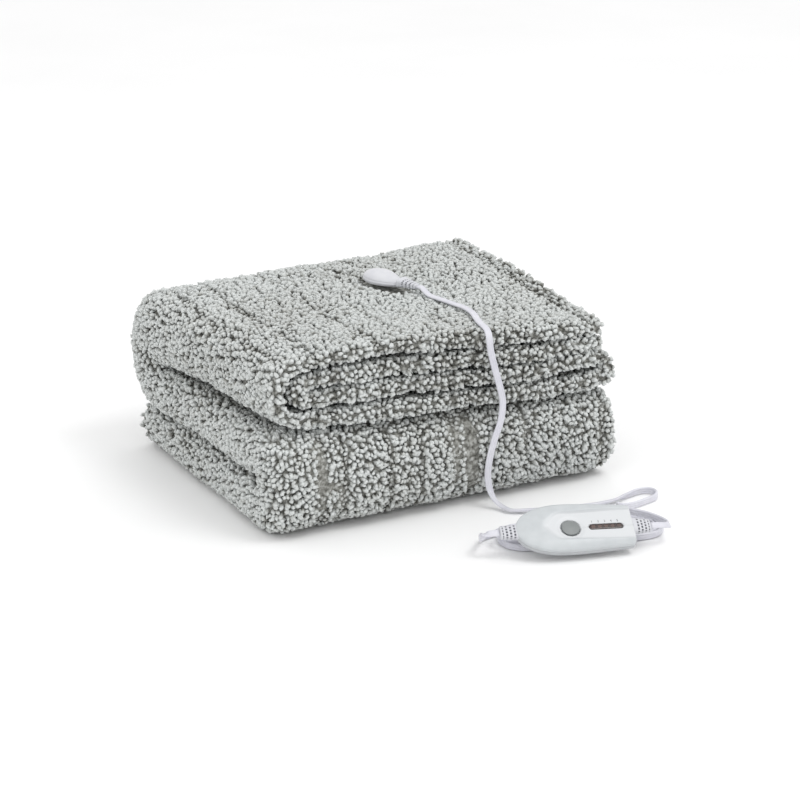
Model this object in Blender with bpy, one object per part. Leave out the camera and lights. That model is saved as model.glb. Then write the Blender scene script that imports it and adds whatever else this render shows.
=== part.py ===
"""An electric heated blanket, folded into a stack, with its plug-in connector, flat cord,
hand controller and wound mains lead.

Metres, +Z up. The origin is the middle of the stack's underside; +X runs along its front, +Y to its back.
The blanket is one cloth, folded twice. It is first folded across X into a strip of four layers, and the
strip is then folded back and forth along Y into three packets.
"""
import math

import bmesh
import bpy
import numpy as np
from mathutils import Matrix, Vector

MODEL = "electric_heated_blanket"
GAP = 0.0003

# Where the stack's own axes stand, so that the origin is the middle of its underside
STACK_AT = (0.0046, -0.0019, 0.0)

# The folded stack
STACK_WIDTH = 0.384
STACK_DEPTH = 0.328
LOWER_CLOTH = 0.0108
LOWER_GAP = 0.0018
UPPER_CLOTH = 0.0180
UPPER_GAP = 0.0022
PACKET_GAP = 0.0024
FRONT_SETBACK = 0.004
LEFT_SETBACK = 0.010
BACK_SETBACK = 0.006
UPPER_SHIFT = 0.007
TURN_SQUASH = 0.80
TURN_SQUARE = 2.5
HINGE_SQUARE = 3.0
HEM_TOP_INSET = 0.013
HEM_SECOND_INSET = 0.012
FLAT_BELOW = 0.030
# The face that rests on the table is drawn in by this share of its depth, most in the middle of its width
UNDERSIDE_WAIST = 0.004
RESTING_BELOW = 0.00001

# Layers left open at the front of the upper packet: which gap (counted from the top layer), where along X,
# over what half length, and how far the gap opens
OPENINGS = (
    dict(gap=1, at=-0.085, half=0.060, open=0.0030),
    dict(gap=3, at=-0.070, half=0.070, open=0.0025),
    dict(gap=3, at=0.165, half=0.045, open=0.0080),
)

# Soft pushes that make the stack uneven: centre, half size and how far the cloth moves there
PUSHES = (
    dict(x=-0.160, y=-0.170, z=0.17, half=0.060, dx=0.000, dy=0.000, dz=-0.005),
    dict(x=0.200, y=-0.160, z=0.18, half=0.120, dx=-0.009, dy=0.000, dz=-0.014),
    dict(x=0.180, y=0.170, z=0.17, half=0.100, dx=-0.002, dy=0.005, dz=0.005),
    dict(x=-0.200, y=0.140, z=0.12, half=0.080, dx=-0.013, dy=0.000, dz=-0.003),
    dict(x=0.190, y=-0.170, z=0.05, half=0.080, dx=0.006, dy=0.000, dz=0.000),
    dict(x=0.200, y=-0.160, z=0.10, half=0.050, dx=0.000, dy=0.000, dz=0.006),
    dict(x=-0.185, y=-0.165, z=0.105, half=0.055, dx=0.000, dy=0.000, dz=0.008),
    dict(x=0.070, y=-0.060, z=0.18, half=0.070, dx=0.000, dy=0.000, dz=-0.003),
    dict(x=-0.030, y=-0.180, z=0.05, half=0.090, dx=0.000, dy=-0.004, dz=0.000),
)

# The flat cord's plain tube
CORD_RADIUS = 0.0027
CORD_POINTS = 78
SHORT_CORD_POINTS = 20

# The connector's rings as height and how far each is drawn in, its taper and where its relief stands
CONNECTOR_RINGS = ((0.0, 0.0022), (0.0015, 0.0), (0.006, 0.0003), (0.0095, 0.003), (0.0115, 0.008))
CONNECTOR_SIDES = 40
CONNECTOR_TAPER = 0.22
CONNECTOR_RELIEF_UP = 0.0052

# The controller's lower rings as height and growth, and the sizes of its dome's rings
CONTROL_BASE_RINGS = ((0.0, -0.0030), (0.0010, -0.0010), (0.0030, -0.0002))
CONTROL_DOME_SIZES = (1.0, 0.985, 0.95, 0.88, 0.76, 0.58, 0.34)
WINDOW_SUNK = 0.0004
SOCKET_OPENING = (0.0170, 0.0102)

# The plug's rings as place along its half length and share of its width
PLUG_RINGS = ((-1.0, 0.92), (-0.9, 1.0), (0.2, 0.95), (0.8, 0.75), (1.0, 0.62))

# The connector, plugged in on top of the blanket: its middle, heading and sizes
CONNECTOR_AT = (0.0275, 0.0260, 0.1812)
CONNECTOR_HEADING = math.radians(-72)
CONNECTOR_PITCH = math.radians(1)
CONNECTOR_LENGTH = 0.050
CONNECTOR_WIDTH = 0.031

# The hand controller on its own axes: nose towards -X, flat end towards +X, front edge near Y = 0.
# It lies tilted on the plug and on the wound lead, with its nose a little up.
CONTROL_AT = (0.0560, -0.3255, 0.0034)
CONTROL_HEADING = math.radians(-17)
CONTROL_TILT = math.radians(33)
CONTROL_PITCH = math.radians(1.8)
CONTROL_NOSE = -0.068
CONTROL_WIDEST = -0.020
CONTROL_END = 0.044
CONTROL_WIDTH = 0.052
CONTROL_END_WIDTH = 0.044
CONTROL_SPLIT = 0.0065
CONTROL_RIM = 0.0095
CONTROL_CROWN = 0.0150
CONTROL_CORNER = 0.0035
NOSE_SHAPE = 2.3
DOME_SHAPE = 2.6
PANEL_FLOOR = 0.0125
PANEL_SIZE = 0.62
PANEL_TIP = -0.044
BUTTON_AT = (-0.0165, 0.0235)
BUTTON_RADIUS = 0.0086
BUTTON_OVAL = 0.92
BUTTON_TALL = 0.0034
BUTTON_PROUD = 0.0012
BUTTON_TRAVEL = 0.0010
BUTTON_CLEARANCE = 0.0004
WINDOW_AT = (0.0180, 0.0240)
WINDOW_SIZE = (0.0330, 0.0056, 0.0014)
RELIEF_DROP = 0.0060
SOCKET_DEPTH = 0.0045

# Strain reliefs: length, and half width and half height at the wide and narrow ends
RELIEFS = dict(
    connector_relief=dict(length=0.022, wide=(0.0085, 0.0050), narrow=(0.0042, 0.0028)),
    controller_end_relief=dict(length=0.018, wide=(0.0088, 0.0052), narrow=(0.0068, 0.0032)),
    controller_nose_relief=dict(length=0.019, wide=(0.0080, 0.0046), narrow=(0.0072, 0.0032)),
    plug_relief=dict(length=0.022, wide=(0.0070, 0.0046), narrow=(0.0042, 0.0028)),
)

# Level axes for what lies on the surface: along the hank's pile, back from the controller, and up
LEVEL_AT = (0.0583, -0.3215, 0.0)
LEVEL_HEADING = math.radians(-27)

# The mains lead, wound into a hank: its middle on the level axes, and its sizes
HANK_AT = (-0.004, 0.0505)
HANK_TURN = math.radians(13)
HANK_LENGTH = 0.172
HANK_WIDTH = 0.060
HANK_HEIGHT = 0.0094

# The mains plug, lying on the hank
PLUG_AT = (0.000, 0.0430)
PLUG_TURN = math.radians(190)
PLUG_LENGTH = 0.032
PLUG_WIDTH = 0.022
PLUG_HEIGHT = 0.0130
BLADE_LENGTH = 0.017
BLADE_WIDTH = 0.0063
BLADE_THICK = 0.0016
BLADE_SPACING = 0.0127

# The blanket lead's route: over the blanket and down its front to the surface it rests on
LEAD_ROUTE = (
    (0.0463, -0.0370, 0.1836),
    (0.0492, -0.0500, 0.1830),
    (0.0540, -0.0700, 0.1824),
    (0.0575, -0.0900, 0.1820),
    (0.0545, -0.1100, 0.1822),
    (0.0480, -0.1280, 0.1825),
    (0.0425, -0.1450, 0.1831),
    (0.0405, -0.1550, 0.1838),
    (0.0395, -0.1642, 0.1808),
    (0.0393, -0.1683, 0.1720),
    (0.0412, -0.1675, 0.1600),
    (0.0470, -0.1665, 0.1400),
    (0.0530, -0.1665, 0.1200),
    (0.0560, -0.1668, 0.1050),
    (0.0530, -0.1685, 0.0870),
    (0.0450, -0.1698, 0.0680),
    (0.0395, -0.1714, 0.0500),
    (0.0375, -0.1712, 0.0330),
    (0.0388, -0.1730, 0.0190),
    (0.0415, -0.1775, 0.0090),
    (0.0450, -0.1850, 0.0042),
    (0.0490, -0.1950, 0.0032),
)

# The same lead on the level axes: behind the controller, round a loop, over the hank and back to the
# controller's flat end
LEAD_LOOP = (
    (-0.0527, 0.1080, 0.0032),
    (-0.0350, 0.1100, 0.0032),
    (0.0000, 0.1160, 0.0032),
    (0.0300, 0.1260, 0.0032),
    (0.0500, 0.1410, 0.0032),
    (0.0640, 0.1530, 0.0032),
    (0.0750, 0.1560, 0.0032),
    (0.0815, 0.1495, 0.0032),
    (0.0795, 0.1380, 0.0032),
    (0.0690, 0.1280, 0.0032),
    (0.0552, 0.1170, 0.0034),
    (0.0430, 0.1080, 0.0060),
    (0.0365, 0.0980, 0.0120),
    (0.0385, 0.0860, 0.0136),
    (0.0480, 0.0770, 0.0130),
    (0.0600, 0.0700, 0.0130),
    (0.0700, 0.0600, 0.0133),
    (0.0765, 0.0480, 0.0142),
    (0.0782, 0.0385, 0.0160),
    (0.0765, 0.0312, 0.0185),
    (0.0712, 0.0270, 0.0201),
)

# The mains lead's free ends, on the same axes
NOSE_ROUTE = (
    (-0.0958, -0.0010, 0.0244),
    (-0.0998, 0.0040, 0.0205),
    (-0.1012, 0.0130, 0.0148),
    (-0.1005, 0.0235, 0.0098),
    (-0.0985, 0.0330, 0.0062),
    (-0.0960, 0.0400, 0.0045),
    (-0.0925, 0.0428, 0.0040),
    (-0.0893, 0.0430, 0.0040),
)
PLUG_ROUTE = (
    (-0.0490, 0.0348, 0.0146),
    (-0.0550, 0.0345, 0.0130),
    (-0.0620, 0.0345, 0.0129),
)


def clear_scene():
    for old in list(bpy.data.objects):
        bpy.data.objects.remove(old, do_unlink=True)


def new_collection(name):
    made = bpy.data.collections.new(name)
    bpy.context.scene.collection.children.link(made)
    return made


def new_material(name, colour, roughness, metallic=0.0):
    made = bpy.data.materials.new(name)
    made.use_nodes = True
    shader = made.node_tree.nodes["Principled BSDF"]
    shader.inputs["Base Color"].default_value = (*colour, 1.0)
    shader.inputs["Roughness"].default_value = roughness
    shader.inputs["Metallic"].default_value = metallic
    return made


def add_object(name, data, home, material, parent=None):
    made = bpy.data.objects.new(name, data)
    home.objects.link(made)
    made.parent = parent
    made.data.materials.append(material)
    return made


def mesh_from(name, points, faces):
    mesh = bpy.data.meshes.new(name)
    mesh.from_pydata(points.tolist(), [], faces)
    made = bmesh.new()
    made.from_mesh(mesh)
    bmesh.ops.recalc_face_normals(made, faces=made.faces)
    made.to_mesh(mesh)
    made.free()
    mesh.validate()
    return mesh


def smooth_step(value):
    """0 below 0, 1 above 1, and a soft ramp between."""
    held = np.clip(value, 0.0, 1.0)
    return held * held * (3.0 - 2.0 * held)


def rounded_turn(angles, square):
    """Points of a half turn of radius 1, from circular (2) to nearly square."""
    across = np.cos(angles)
    up = np.sin(angles)
    reach = (np.abs(across) ** square + np.abs(up) ** square) ** (-1.0 / square)
    return across * reach, up * reach


# The blanket

def strip_line(pitch, cloth, left, right):
    """The middle line of the four layers, as x and level arrays over (station, point).

    It runs from the top layer's hem at the right, round the outer turn at the left, along the bottom
    layer, round the turn at the right, back along the third layer, round the inner turn and out along the
    second layer to its hem. A level counts pitches up from the bottom layer's middle.
    """
    half_turn = np.linspace(math.pi / 2, -math.pi / 2, 10)
    across, up = rounded_turn(half_turn, TURN_SQUARE)
    small_turn = np.linspace(-math.pi / 2, math.pi / 2, 7)
    run = np.linspace(0.0, 1.0, 8)
    outer = left + cloth / 2 + 1.5 * pitch * TURN_SQUASH
    tongue = left + 1.5 * cloth + (pitch - cloth) + 0.5 * pitch
    closed = right - cloth / 2 - 0.5 * pitch
    hem_top = right - HEM_TOP_INSET
    hem_second = right - HEM_SECOND_INSET
    one = np.ones_like(pitch)
    pieces_x = (
        hem_top + (outer - hem_top) * run[:-1],
        outer - 1.5 * pitch * TURN_SQUASH * across,
        outer + (closed - outer) * run[1:-1],
        closed + 0.5 * pitch * np.cos(small_turn),
        closed + (tongue - closed) * run[1:-1],
        tongue - 0.5 * pitch * np.cos(small_turn),
        tongue + (hem_second - tongue) * run[1:],
    )
    pieces_level = (
        one * 3.0 * np.ones(7),
        one * (1.5 + 1.5 * up),
        one * np.zeros(6),
        one * (0.5 + 0.5 * np.sin(small_turn)),
        one * np.ones(6),
        one * (1.5 + 0.5 * np.sin(small_turn)),
        one * 2.0 * np.ones(7),
    )
    return np.concatenate(pieces_x, axis=1), np.concatenate(pieces_level, axis=1)


def strip_faces(pitch, cloth, left, right):
    """The two faces of the strip's cloth, half a thickness either side of its middle line."""
    x, level = strip_line(pitch, cloth, left, right)
    height = cloth / 2 + level * pitch
    along_x = np.gradient(x, axis=1)
    along_h = np.gradient(height, axis=1)
    length = np.hypot(along_x, along_h)
    side_x = -along_h / length * cloth / 2
    side_h = along_x / length * cloth / 2
    return (x + side_x, height + side_h), (x - side_x, height - side_h)


def fold_stations():
    """The strip's path along Y: each station's run (0 top packet, 1 back hinge, 2 middle packet,
    3 front hinge, 4 bottom packet), its place along that run and its share of the upper packet."""
    rows = []
    for run, count in ((0, 9), (1, 10), (2, 4), (3, 10), (4, 5)):
        for step in range(count + (run == 4)):
            rows.append((run, step / count))
    table = np.array(rows)
    run = table[:, :1]
    place = table[:, 1:]
    upper = np.where(run == 0, 1.0, np.where(run == 1, 1.0 - smooth_step(place), 0.0))
    return run, place, upper


def fold_strip(run, place, pitch, cloth, x, height):
    """Carries a face of the strip, as x and height, along the back-and-forth path; gives (x, y, z)."""
    thick = cloth + 3.0 * pitch
    lower = LOWER_CLOTH + 3.0 * (LOWER_CLOTH + LOWER_GAP)
    upper = UPPER_CLOTH + 3.0 * (UPPER_CLOTH + UPPER_GAP)
    low_hinge = lower + PACKET_GAP / 2
    high_hinge = low_hinge + lower + PACKET_GAP
    front = -STACK_DEPTH / 2 + lower + PACKET_GAP / 2
    back = STACK_DEPTH / 2 - (lower + upper) / 2 - PACKET_GAP / 2
    angle = math.pi / 2 - math.pi * place
    across, up = rounded_turn(angle, HINGE_SQUARE)
    leftness = smooth_step((0.05 - x) / 0.2)
    front_end = -STACK_DEPTH / 2 + FRONT_SETBACK + LEFT_SETBACK * leftness
    back_end = STACK_DEPTH / 2 - BACK_SETBACK
    out_first = PACKET_GAP / 2 + height
    out_second = PACKET_GAP / 2 + thick - height
    y = np.select(
        [run == 0, run == 1, run == 2, run == 3],
        [
            front_end + (back - front_end) * place,
            back + out_first * across,
            back + (front - back) * place,
            front - out_second * across,
        ],
        front + (back_end - front) * place,
    )
    z = np.select(
        [run == 0, run == 1, run == 2, run == 3],
        [
            high_hinge + out_first + 0.0 * place,
            high_hinge + out_first * up,
            high_hinge - out_first + 0.0 * place,
            low_hinge + out_second * up,
        ],
        low_hinge - out_second + 0.0 * place,
    )
    return x + 0.0 * place, y, z


def open_layers(run, place, pitch, x, height):
    """Opens the gaps named in OPENINGS at the front of the upper packet, and closes what is above."""
    total = 4.0 * pitch
    moved = height
    fade = np.where(run == 0, 1.0 - smooth_step(place / 0.5), 0.0)
    for row in OPENINGS:
        level = (4 - row["gap"]) * pitch - UPPER_GAP / 2
        near = np.exp(-(((x - row["at"]) / row["half"]) ** 4))
        above = smooth_step((height - level + UPPER_GAP / 2) / UPPER_GAP)
        left_over = (total - height) / (total - level)
        moved = moved + row["open"] * near * fade * above * left_over
    return moved


def settle(points):
    """Lets the stack lie unevenly by the rows of PUSHES; the underside stays flat."""
    lift_off = smooth_step(points[..., 2:] / FLAT_BELOW)
    settled = points.copy()
    for row in PUSHES:
        away = points - np.array([row["x"], row["y"], row["z"]])
        near = np.exp(-(away**2).sum(axis=-1, keepdims=True) / row["half"] ** 2)
        settled += near * lift_off * np.array([row["dx"], row["dy"], row["dz"]])
    across = points[..., 0] / (STACK_WIDTH / 2)
    waist = UNDERSIDE_WAIST * (1.0 - across**2) * (points[..., 2] < RESTING_BELOW)
    settled[..., 1] *= 1.0 - waist
    return settled


def blanket_points():
    run, place, upper = fold_stations()
    cloth = LOWER_CLOTH + (UPPER_CLOTH - LOWER_CLOTH) * upper
    gap = LOWER_GAP + (UPPER_GAP - LOWER_GAP) * upper
    pitch = cloth + gap
    forward = np.where(run == 0, 1.0 - smooth_step(place), 0.0)
    shift = UPPER_SHIFT * forward
    left = -STACK_WIDTH / 2 + shift
    right = STACK_WIDTH / 2 + shift
    sides = []
    for x, height in strip_faces(pitch, cloth, left, right):
        opened = open_layers(run, place, pitch, x, height)
        folded = np.stack(fold_strip(run, place, pitch, cloth, x, opened), axis=-1)
        sides.append(settle(folded))
    return np.stack(sides)


def sheet_faces(rows, columns):
    """Faces of a closed sheet whose two sides are grids of rows by columns, one after the other."""
    other = rows * columns
    faces = []
    for r in range(rows - 1):
        for c in range(columns - 1):
            a = r * columns + c
            b = a + 1
            d = a + columns
            e = d + 1
            faces.append((a, b, e, d))
            faces.append((other + a, other + d, other + e, other + b))
    rim = [(r * columns, (r + 1) * columns) for r in range(rows - 1)]
    rim += [((rows - 1) * columns + c, (rows - 1) * columns + c + 1) for c in range(columns - 1)]
    last = columns - 1
    rim += [((r + 1) * columns + last, r * columns + last) for r in range(rows - 1)]
    rim += [(c + 1, c) for c in range(columns - 1)]
    faces += [(a, b, other + b, other + a) for a, b in rim]
    return faces


def build_blanket(home, root):
    sides = blanket_points()
    _, rows, columns, _ = sides.shape
    points = sides.reshape(-1, 3)
    mesh = mesh_from("blanket", points, sheet_faces(rows, columns))
    sherpa = new_material("sherpa", (0.62, 0.63, 0.60), 0.95)
    blanket = add_object("blanket", mesh, home, sherpa, root)
    blanket.data.shade_smooth()
    return blanket


# Shapes shared by the hard pieces

def ring_solid(name, rings):
    """A closed solid through rings of equal count, listed from one end to the other, with flat ends."""
    count = len(rings[0])
    points = np.concatenate(rings)
    faces = []
    for r in range(len(rings) - 1):
        for c in range(count):
            d = (c + 1) % count
            faces.append((r * count + c, r * count + d, (r + 1) * count + d, (r + 1) * count + c))
    faces.append(tuple(range(count)))
    faces.append(tuple(range((len(rings) - 1) * count, len(rings) * count)))
    return mesh_from(name, points, faces)


def oval_ring(along, half_width, half_height, count=24):
    """A rounded ring across the X axis, at a distance along it."""
    angle = np.arange(count) * 2 * math.pi / count
    across, up = rounded_turn(angle, 2.6)
    return np.stack([np.full(count, along), half_width * across, half_height * up], axis=1)


def relief_mesh(name):
    """A tapered strain relief along +X, from its wide end at 0 to its narrow end."""
    row = RELIEFS[name]
    rings = []
    for share in (0.0, 0.35, 0.7, 1.0):
        half_width = row["wide"][0] + (row["narrow"][0] - row["wide"][0]) * share
        half_height = row["wide"][1] + (row["narrow"][1] - row["wide"][1]) * share
        rings.append(oval_ring(row["length"] * share, half_width, half_height))
    return ring_solid(name, rings)


def add_empty(name, home, place, parent=None):
    made = bpy.data.objects.new(name, None)
    home.objects.link(made)
    made.parent = parent
    made.matrix_local = place
    return made


def smooth_route(route, count):
    """Evenly spaced points on a smooth curve through the route's own points."""
    knots = np.array([tuple(point) for point in route])
    padded = np.vstack([2 * knots[0] - knots[1], knots, 2 * knots[-1] - knots[-2]])
    fine = []
    for k in range(len(knots) - 1):
        p0, p1, p2, p3 = padded[k : k + 4]
        t = np.linspace(0, 1, 12, endpoint=False)[:, None]
        fine.append(
            0.5
            * (
                2 * p1
                + (p2 - p0) * t
                + (2 * p0 - 5 * p1 + 4 * p2 - p3) * t**2
                + (3 * p1 - p0 - 3 * p2 + p3) * t**3
            )
        )
    line = np.vstack(fine + [knots[-1:]])
    walked = np.concatenate([[0], np.cumsum(np.linalg.norm(np.diff(line, axis=0), axis=1))])
    stops = np.linspace(0, walked[-1], count)
    return np.stack([np.interp(stops, walked, line[:, k]) for k in range(3)], axis=1)


def relief_tip(relief):
    """A point just past a relief's narrow end, and the next one along its axis."""
    place = relief.parent.matrix_basis @ relief.matrix_basis
    length = RELIEFS[relief.name]["length"]
    return [place @ Vector((length + reach, 0.0, 0.0)) for reach in (2 * GAP, 0.006)]


def cord_tube(name, route, count, home, material, root):
    points = smooth_route(route, count)
    curve = bpy.data.curves.new(name, "CURVE")
    curve.dimensions = "3D"
    curve.bevel_depth = CORD_RADIUS
    curve.bevel_resolution = 2
    curve.use_fill_caps = True
    spline = curve.splines.new("POLY")
    spline.points.add(len(points) - 1)
    for point, place in zip(spline.points, points):
        point.co = (*place, 1.0)
    return add_object(name, curve, home, material, root)


def cut(body, cutter):
    made = body.modifiers.new("cut_" + cutter.name, "BOOLEAN")
    made.operation = "DIFFERENCE"
    made.object = cutter


def add_cutter(name, mesh, cutters, parent):
    made = bpy.data.objects.new(name, mesh)
    cutters.objects.link(made)
    made.parent = parent
    made.hide_render = True
    made.display_type = "WIRE"
    return made


# The connector

def build_connector(home, white, root):
    place = (
        Matrix.Translation(CONNECTOR_AT)
        @ Matrix.Rotation(CONNECTOR_HEADING, 4, "Z")
        @ Matrix.Rotation(CONNECTOR_PITCH, 4, "Y")
    )
    holder = add_empty("connector_place", home, place, root)
    half_length = CONNECTOR_LENGTH / 2
    rings = []
    angle = np.arange(CONNECTOR_SIDES) * 2 * math.pi / CONNECTOR_SIDES
    taper = 1.0 - CONNECTOR_TAPER * np.cos(angle)
    for level, inset in CONNECTOR_RINGS:
        x = (half_length - inset) * np.cos(angle)
        y = (CONNECTOR_WIDTH / 2 - inset) * np.sin(angle) * taper
        rings.append(np.stack([x, y, np.full(CONNECTOR_SIDES, level)], axis=1))
    connector = add_object("connector", ring_solid("connector", rings), home, white, holder)
    connector.data.shade_smooth()
    relief = add_object("connector_relief", relief_mesh("connector_relief"), home, white, holder)
    relief.location = (half_length + GAP, 0.0, CONNECTOR_RELIEF_UP)
    relief.data.shade_smooth()
    return relief


# The hand controller

def control_outline(grow=0.0):
    """The controller's outline as seen from above: a rounded nose, full sides and a flat end."""
    nose_length = CONTROL_WIDEST - CONTROL_NOSE
    turn = np.linspace(0.0, math.pi / 2, 16)
    nose_x = CONTROL_WIDEST - nose_length * np.cos(turn) ** (2 / NOSE_SHAPE)
    nose_y = np.sin(turn)
    side = np.linspace(0.0, 1.0, 8)[1:]
    side_x = CONTROL_WIDEST + (CONTROL_END - CONTROL_CORNER - CONTROL_WIDEST) * side
    narrow = (CONTROL_WIDTH - CONTROL_END_WIDTH) / CONTROL_WIDTH
    side_y = 1.0 - narrow * side**1.5
    corner = np.linspace(0.0, math.pi / 2, 4)[1:]
    corner_x = CONTROL_END - CONTROL_CORNER + CONTROL_CORNER * np.sin(corner)
    corner_y = side_y[-1] - CONTROL_CORNER / (CONTROL_WIDTH / 2) * (1.0 - np.cos(corner))
    x = np.concatenate([nose_x, side_x, corner_x])
    y = np.concatenate([nose_y, side_y, corner_y]) * CONTROL_WIDTH / 2
    whole_x = np.concatenate([x, x[:0:-1]])
    whole_y = np.concatenate([y, -y[:0:-1]])
    run_x = np.roll(whole_x, -1) - np.roll(whole_x, 1)
    run_y = np.roll(whole_y, -1) - np.roll(whole_y, 1)
    length = np.hypot(run_x, run_y)
    return whole_x - grow * run_y / length, whole_y + grow * run_x / length


def control_ring(level, grow=0.0, size=1.0):
    """The outline at a height, grown by a distance or shrunk towards the middle of the flat end."""
    x, y = control_outline(grow)
    x = CONTROL_END + (x - CONTROL_END) * size
    y = CONTROL_WIDTH / 2 + y * size
    return np.stack([x, y, np.full_like(x, level)], axis=1)


def oval_prism(name, radius_x, radius_y, low, high, count=40):
    """An upright oval solid."""
    angle = np.arange(count) * 2 * math.pi / count
    ring = np.stack([radius_x * np.cos(angle), radius_y * np.sin(angle), np.zeros(count)], axis=1)
    return ring_solid(name, [ring + (0, 0, low), ring + (0, 0, high)])


def slot_prism(name, length, width, low, high):
    """An upright solid with straight sides and round ends."""
    angle = np.linspace(-math.pi / 2, math.pi / 2, 9)
    end_x = (length - width) / 2 + width / 2 * np.cos(angle)
    end_y = width / 2 * np.sin(angle)
    x = np.concatenate([end_x, -end_x])
    y = np.concatenate([end_y, -end_y])
    ring = np.stack([x, y, np.zeros_like(x)], axis=1)
    return ring_solid(name, [ring + (0, 0, low), ring + (0, 0, high)])


def box_mesh(name, size):
    """A box of the given size about its own middle."""
    shape = bmesh.new()
    bmesh.ops.create_cube(shape, size=1.0)
    bmesh.ops.scale(shape, vec=size, verts=shape.verts)
    made = bpy.data.meshes.new(name)
    shape.to_mesh(made)
    shape.free()
    return made


def panel_prism(name):
    """The space above the sunken panel: a teardrop that is open towards the flat end."""
    x, y = control_outline()
    reach = (CONTROL_END - PANEL_TIP) / (CONTROL_END - CONTROL_NOSE)
    flat_x = CONTROL_END + 0.002 + (x - CONTROL_END) * reach
    flat_y = CONTROL_WIDTH / 2 + y * PANEL_SIZE
    ring = np.stack([flat_x, flat_y, np.zeros_like(x)], axis=1)
    return ring_solid(name, [ring + (0, 0, PANEL_FLOOR), ring + (0, 0, CONTROL_CROWN * 2)])


def build_controller(home, cutters, white, grey, dark, root):
    place = (
        Matrix.Translation(CONTROL_AT)
        @ Matrix.Rotation(CONTROL_HEADING, 4, "Z")
        @ Matrix.Rotation(CONTROL_PITCH, 4, "Y")
        @ Matrix.Rotation(CONTROL_TILT, 4, "X")
    )
    holder = add_empty("controller_place", home, place, root)
    base_rings = [control_ring(level, grow) for level, grow in CONTROL_BASE_RINGS]
    base_rings.append(control_ring(CONTROL_SPLIT))
    base = add_object("controller_base", ring_solid("controller_base", base_rings), home, white, holder)
    base.data.shade_smooth()
    cover_rings = [control_ring(CONTROL_SPLIT + GAP)]
    for size in CONTROL_DOME_SIZES:
        dome = (CONTROL_CROWN - CONTROL_RIM) * (1.0 - size**DOME_SHAPE) ** 0.5
        cover_rings.append(control_ring(CONTROL_RIM + dome, 0.0, size))
    cover = add_object("controller_cover", ring_solid("controller_cover", cover_rings), home, white, holder)
    cut(cover, add_cutter("panel_cutter", panel_prism("panel_cutter"), cutters, holder))
    floor = PANEL_FLOOR + BUTTON_PROUD - BUTTON_TALL
    pocket = oval_prism(
        "button_cutter",
        BUTTON_RADIUS + BUTTON_CLEARANCE,
        BUTTON_RADIUS * BUTTON_OVAL + BUTTON_CLEARANCE,
        floor - BUTTON_TRAVEL - BUTTON_CLEARANCE,
        CONTROL_CROWN,
    )
    button_cutter = add_cutter("button_cutter", pocket, cutters, holder)
    button_cutter.location = (*BUTTON_AT, 0.0)
    cut(cover, button_cutter)
    length, width, height = WINDOW_SIZE
    trench = slot_prism(
        "window_cutter", length + 2 * GAP, width + 2 * GAP, PANEL_FLOOR - height - GAP, CONTROL_CROWN
    )
    window_cutter = add_cutter("window_cutter", trench, cutters, holder)
    window_cutter.location = (*WINDOW_AT, 0.0)
    cut(cover, window_cutter)
    window = slot_prism("light_window", length, width, PANEL_FLOOR - height, PANEL_FLOOR - WINDOW_SUNK)
    window = add_object("light_window", window, home, dark, holder)
    window.location = (*WINDOW_AT, 0.0)
    cap = oval_prism("button", BUTTON_RADIUS, BUTTON_RADIUS * BUTTON_OVAL, 0.0, BUTTON_TALL)
    button = add_object("button", cap, home, grey, holder)
    button.location = (*BUTTON_AT, floor)
    end_relief = relief_mesh("controller_end_relief")
    end_relief = add_object("controller_end_relief", end_relief, home, white, holder)
    end_relief.location = (CONTROL_END + GAP, CONTROL_WIDTH / 2, RELIEF_DROP)
    end_relief.data.shade_smooth()
    nose_relief = relief_mesh("controller_nose_relief")
    nose_relief = add_object("controller_nose_relief", nose_relief, home, white, holder)
    nose_relief.location = (CONTROL_NOSE + SOCKET_DEPTH, CONTROL_WIDTH / 2, RELIEF_DROP)
    nose_relief.rotation_euler = (0.0, 0.0, math.pi)
    nose_relief.data.shade_smooth()
    socket = box_mesh("nose_cutter", (SOCKET_DEPTH * 4, *SOCKET_OPENING))
    nose_cutter = add_cutter("nose_cutter", socket, cutters, holder)
    socket_x = CONTROL_NOSE + SOCKET_DEPTH + GAP - SOCKET_DEPTH * 2
    nose_cutter.location = (socket_x, CONTROL_WIDTH / 2, RELIEF_DROP)
    cut(base, nose_cutter)
    cut(cover, nose_cutter)
    return end_relief, nose_relief


# The mains lead: its hank, free ends and plug

def level_place(along, back, up, turn=0.0):
    """A place on the level axes."""
    return (
        Matrix.Translation(LEVEL_AT)
        @ Matrix.Rotation(LEVEL_HEADING, 4, "Z")
        @ Matrix.Translation((along, back, up))
        @ Matrix.Rotation(turn, 4, "Z")
    )


def build_hank(home, white, root):
    holder = add_empty("hank_place", home, level_place(*HANK_AT, 0.0, HANK_TURN), root)
    hank = slot_prism("hank", HANK_LENGTH, HANK_WIDTH, GAP, GAP + HANK_HEIGHT)
    add_object("hank", hank, home, white, holder)


def build_plug(home, white, metal, root):
    stand = 2 * GAP + HANK_HEIGHT
    holder = add_empty("plug_place", home, level_place(*PLUG_AT, stand, PLUG_TURN), root)
    half_length = PLUG_LENGTH / 2
    half_width = PLUG_WIDTH / 2
    middle = PLUG_HEIGHT / 2
    rings = []
    for along, share in PLUG_RINGS:
        ring = oval_ring(along * half_length, half_width * share, middle * (0.5 + 0.5 * share))
        rings.append(ring + (0.0, 0.0, middle))
    body = add_object("plug_body", ring_solid("plug_body", rings), home, white, holder)
    body.data.shade_smooth()
    relief = add_object("plug_relief", relief_mesh("plug_relief"), home, white, holder)
    relief.location = (half_length + GAP, 0.0, middle)
    relief.data.shade_smooth()
    for side, name in ((-1, "plug_blade_a"), (1, "plug_blade_b")):
        size = (BLADE_LENGTH, BLADE_THICK, BLADE_WIDTH)
        blade = add_object(name, box_mesh(name, size), home, metal, holder)
        blade.location = (-half_length - BLADE_LENGTH / 2 - GAP, side * BLADE_SPACING / 2, middle)
    return relief


# The cords between them

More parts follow.
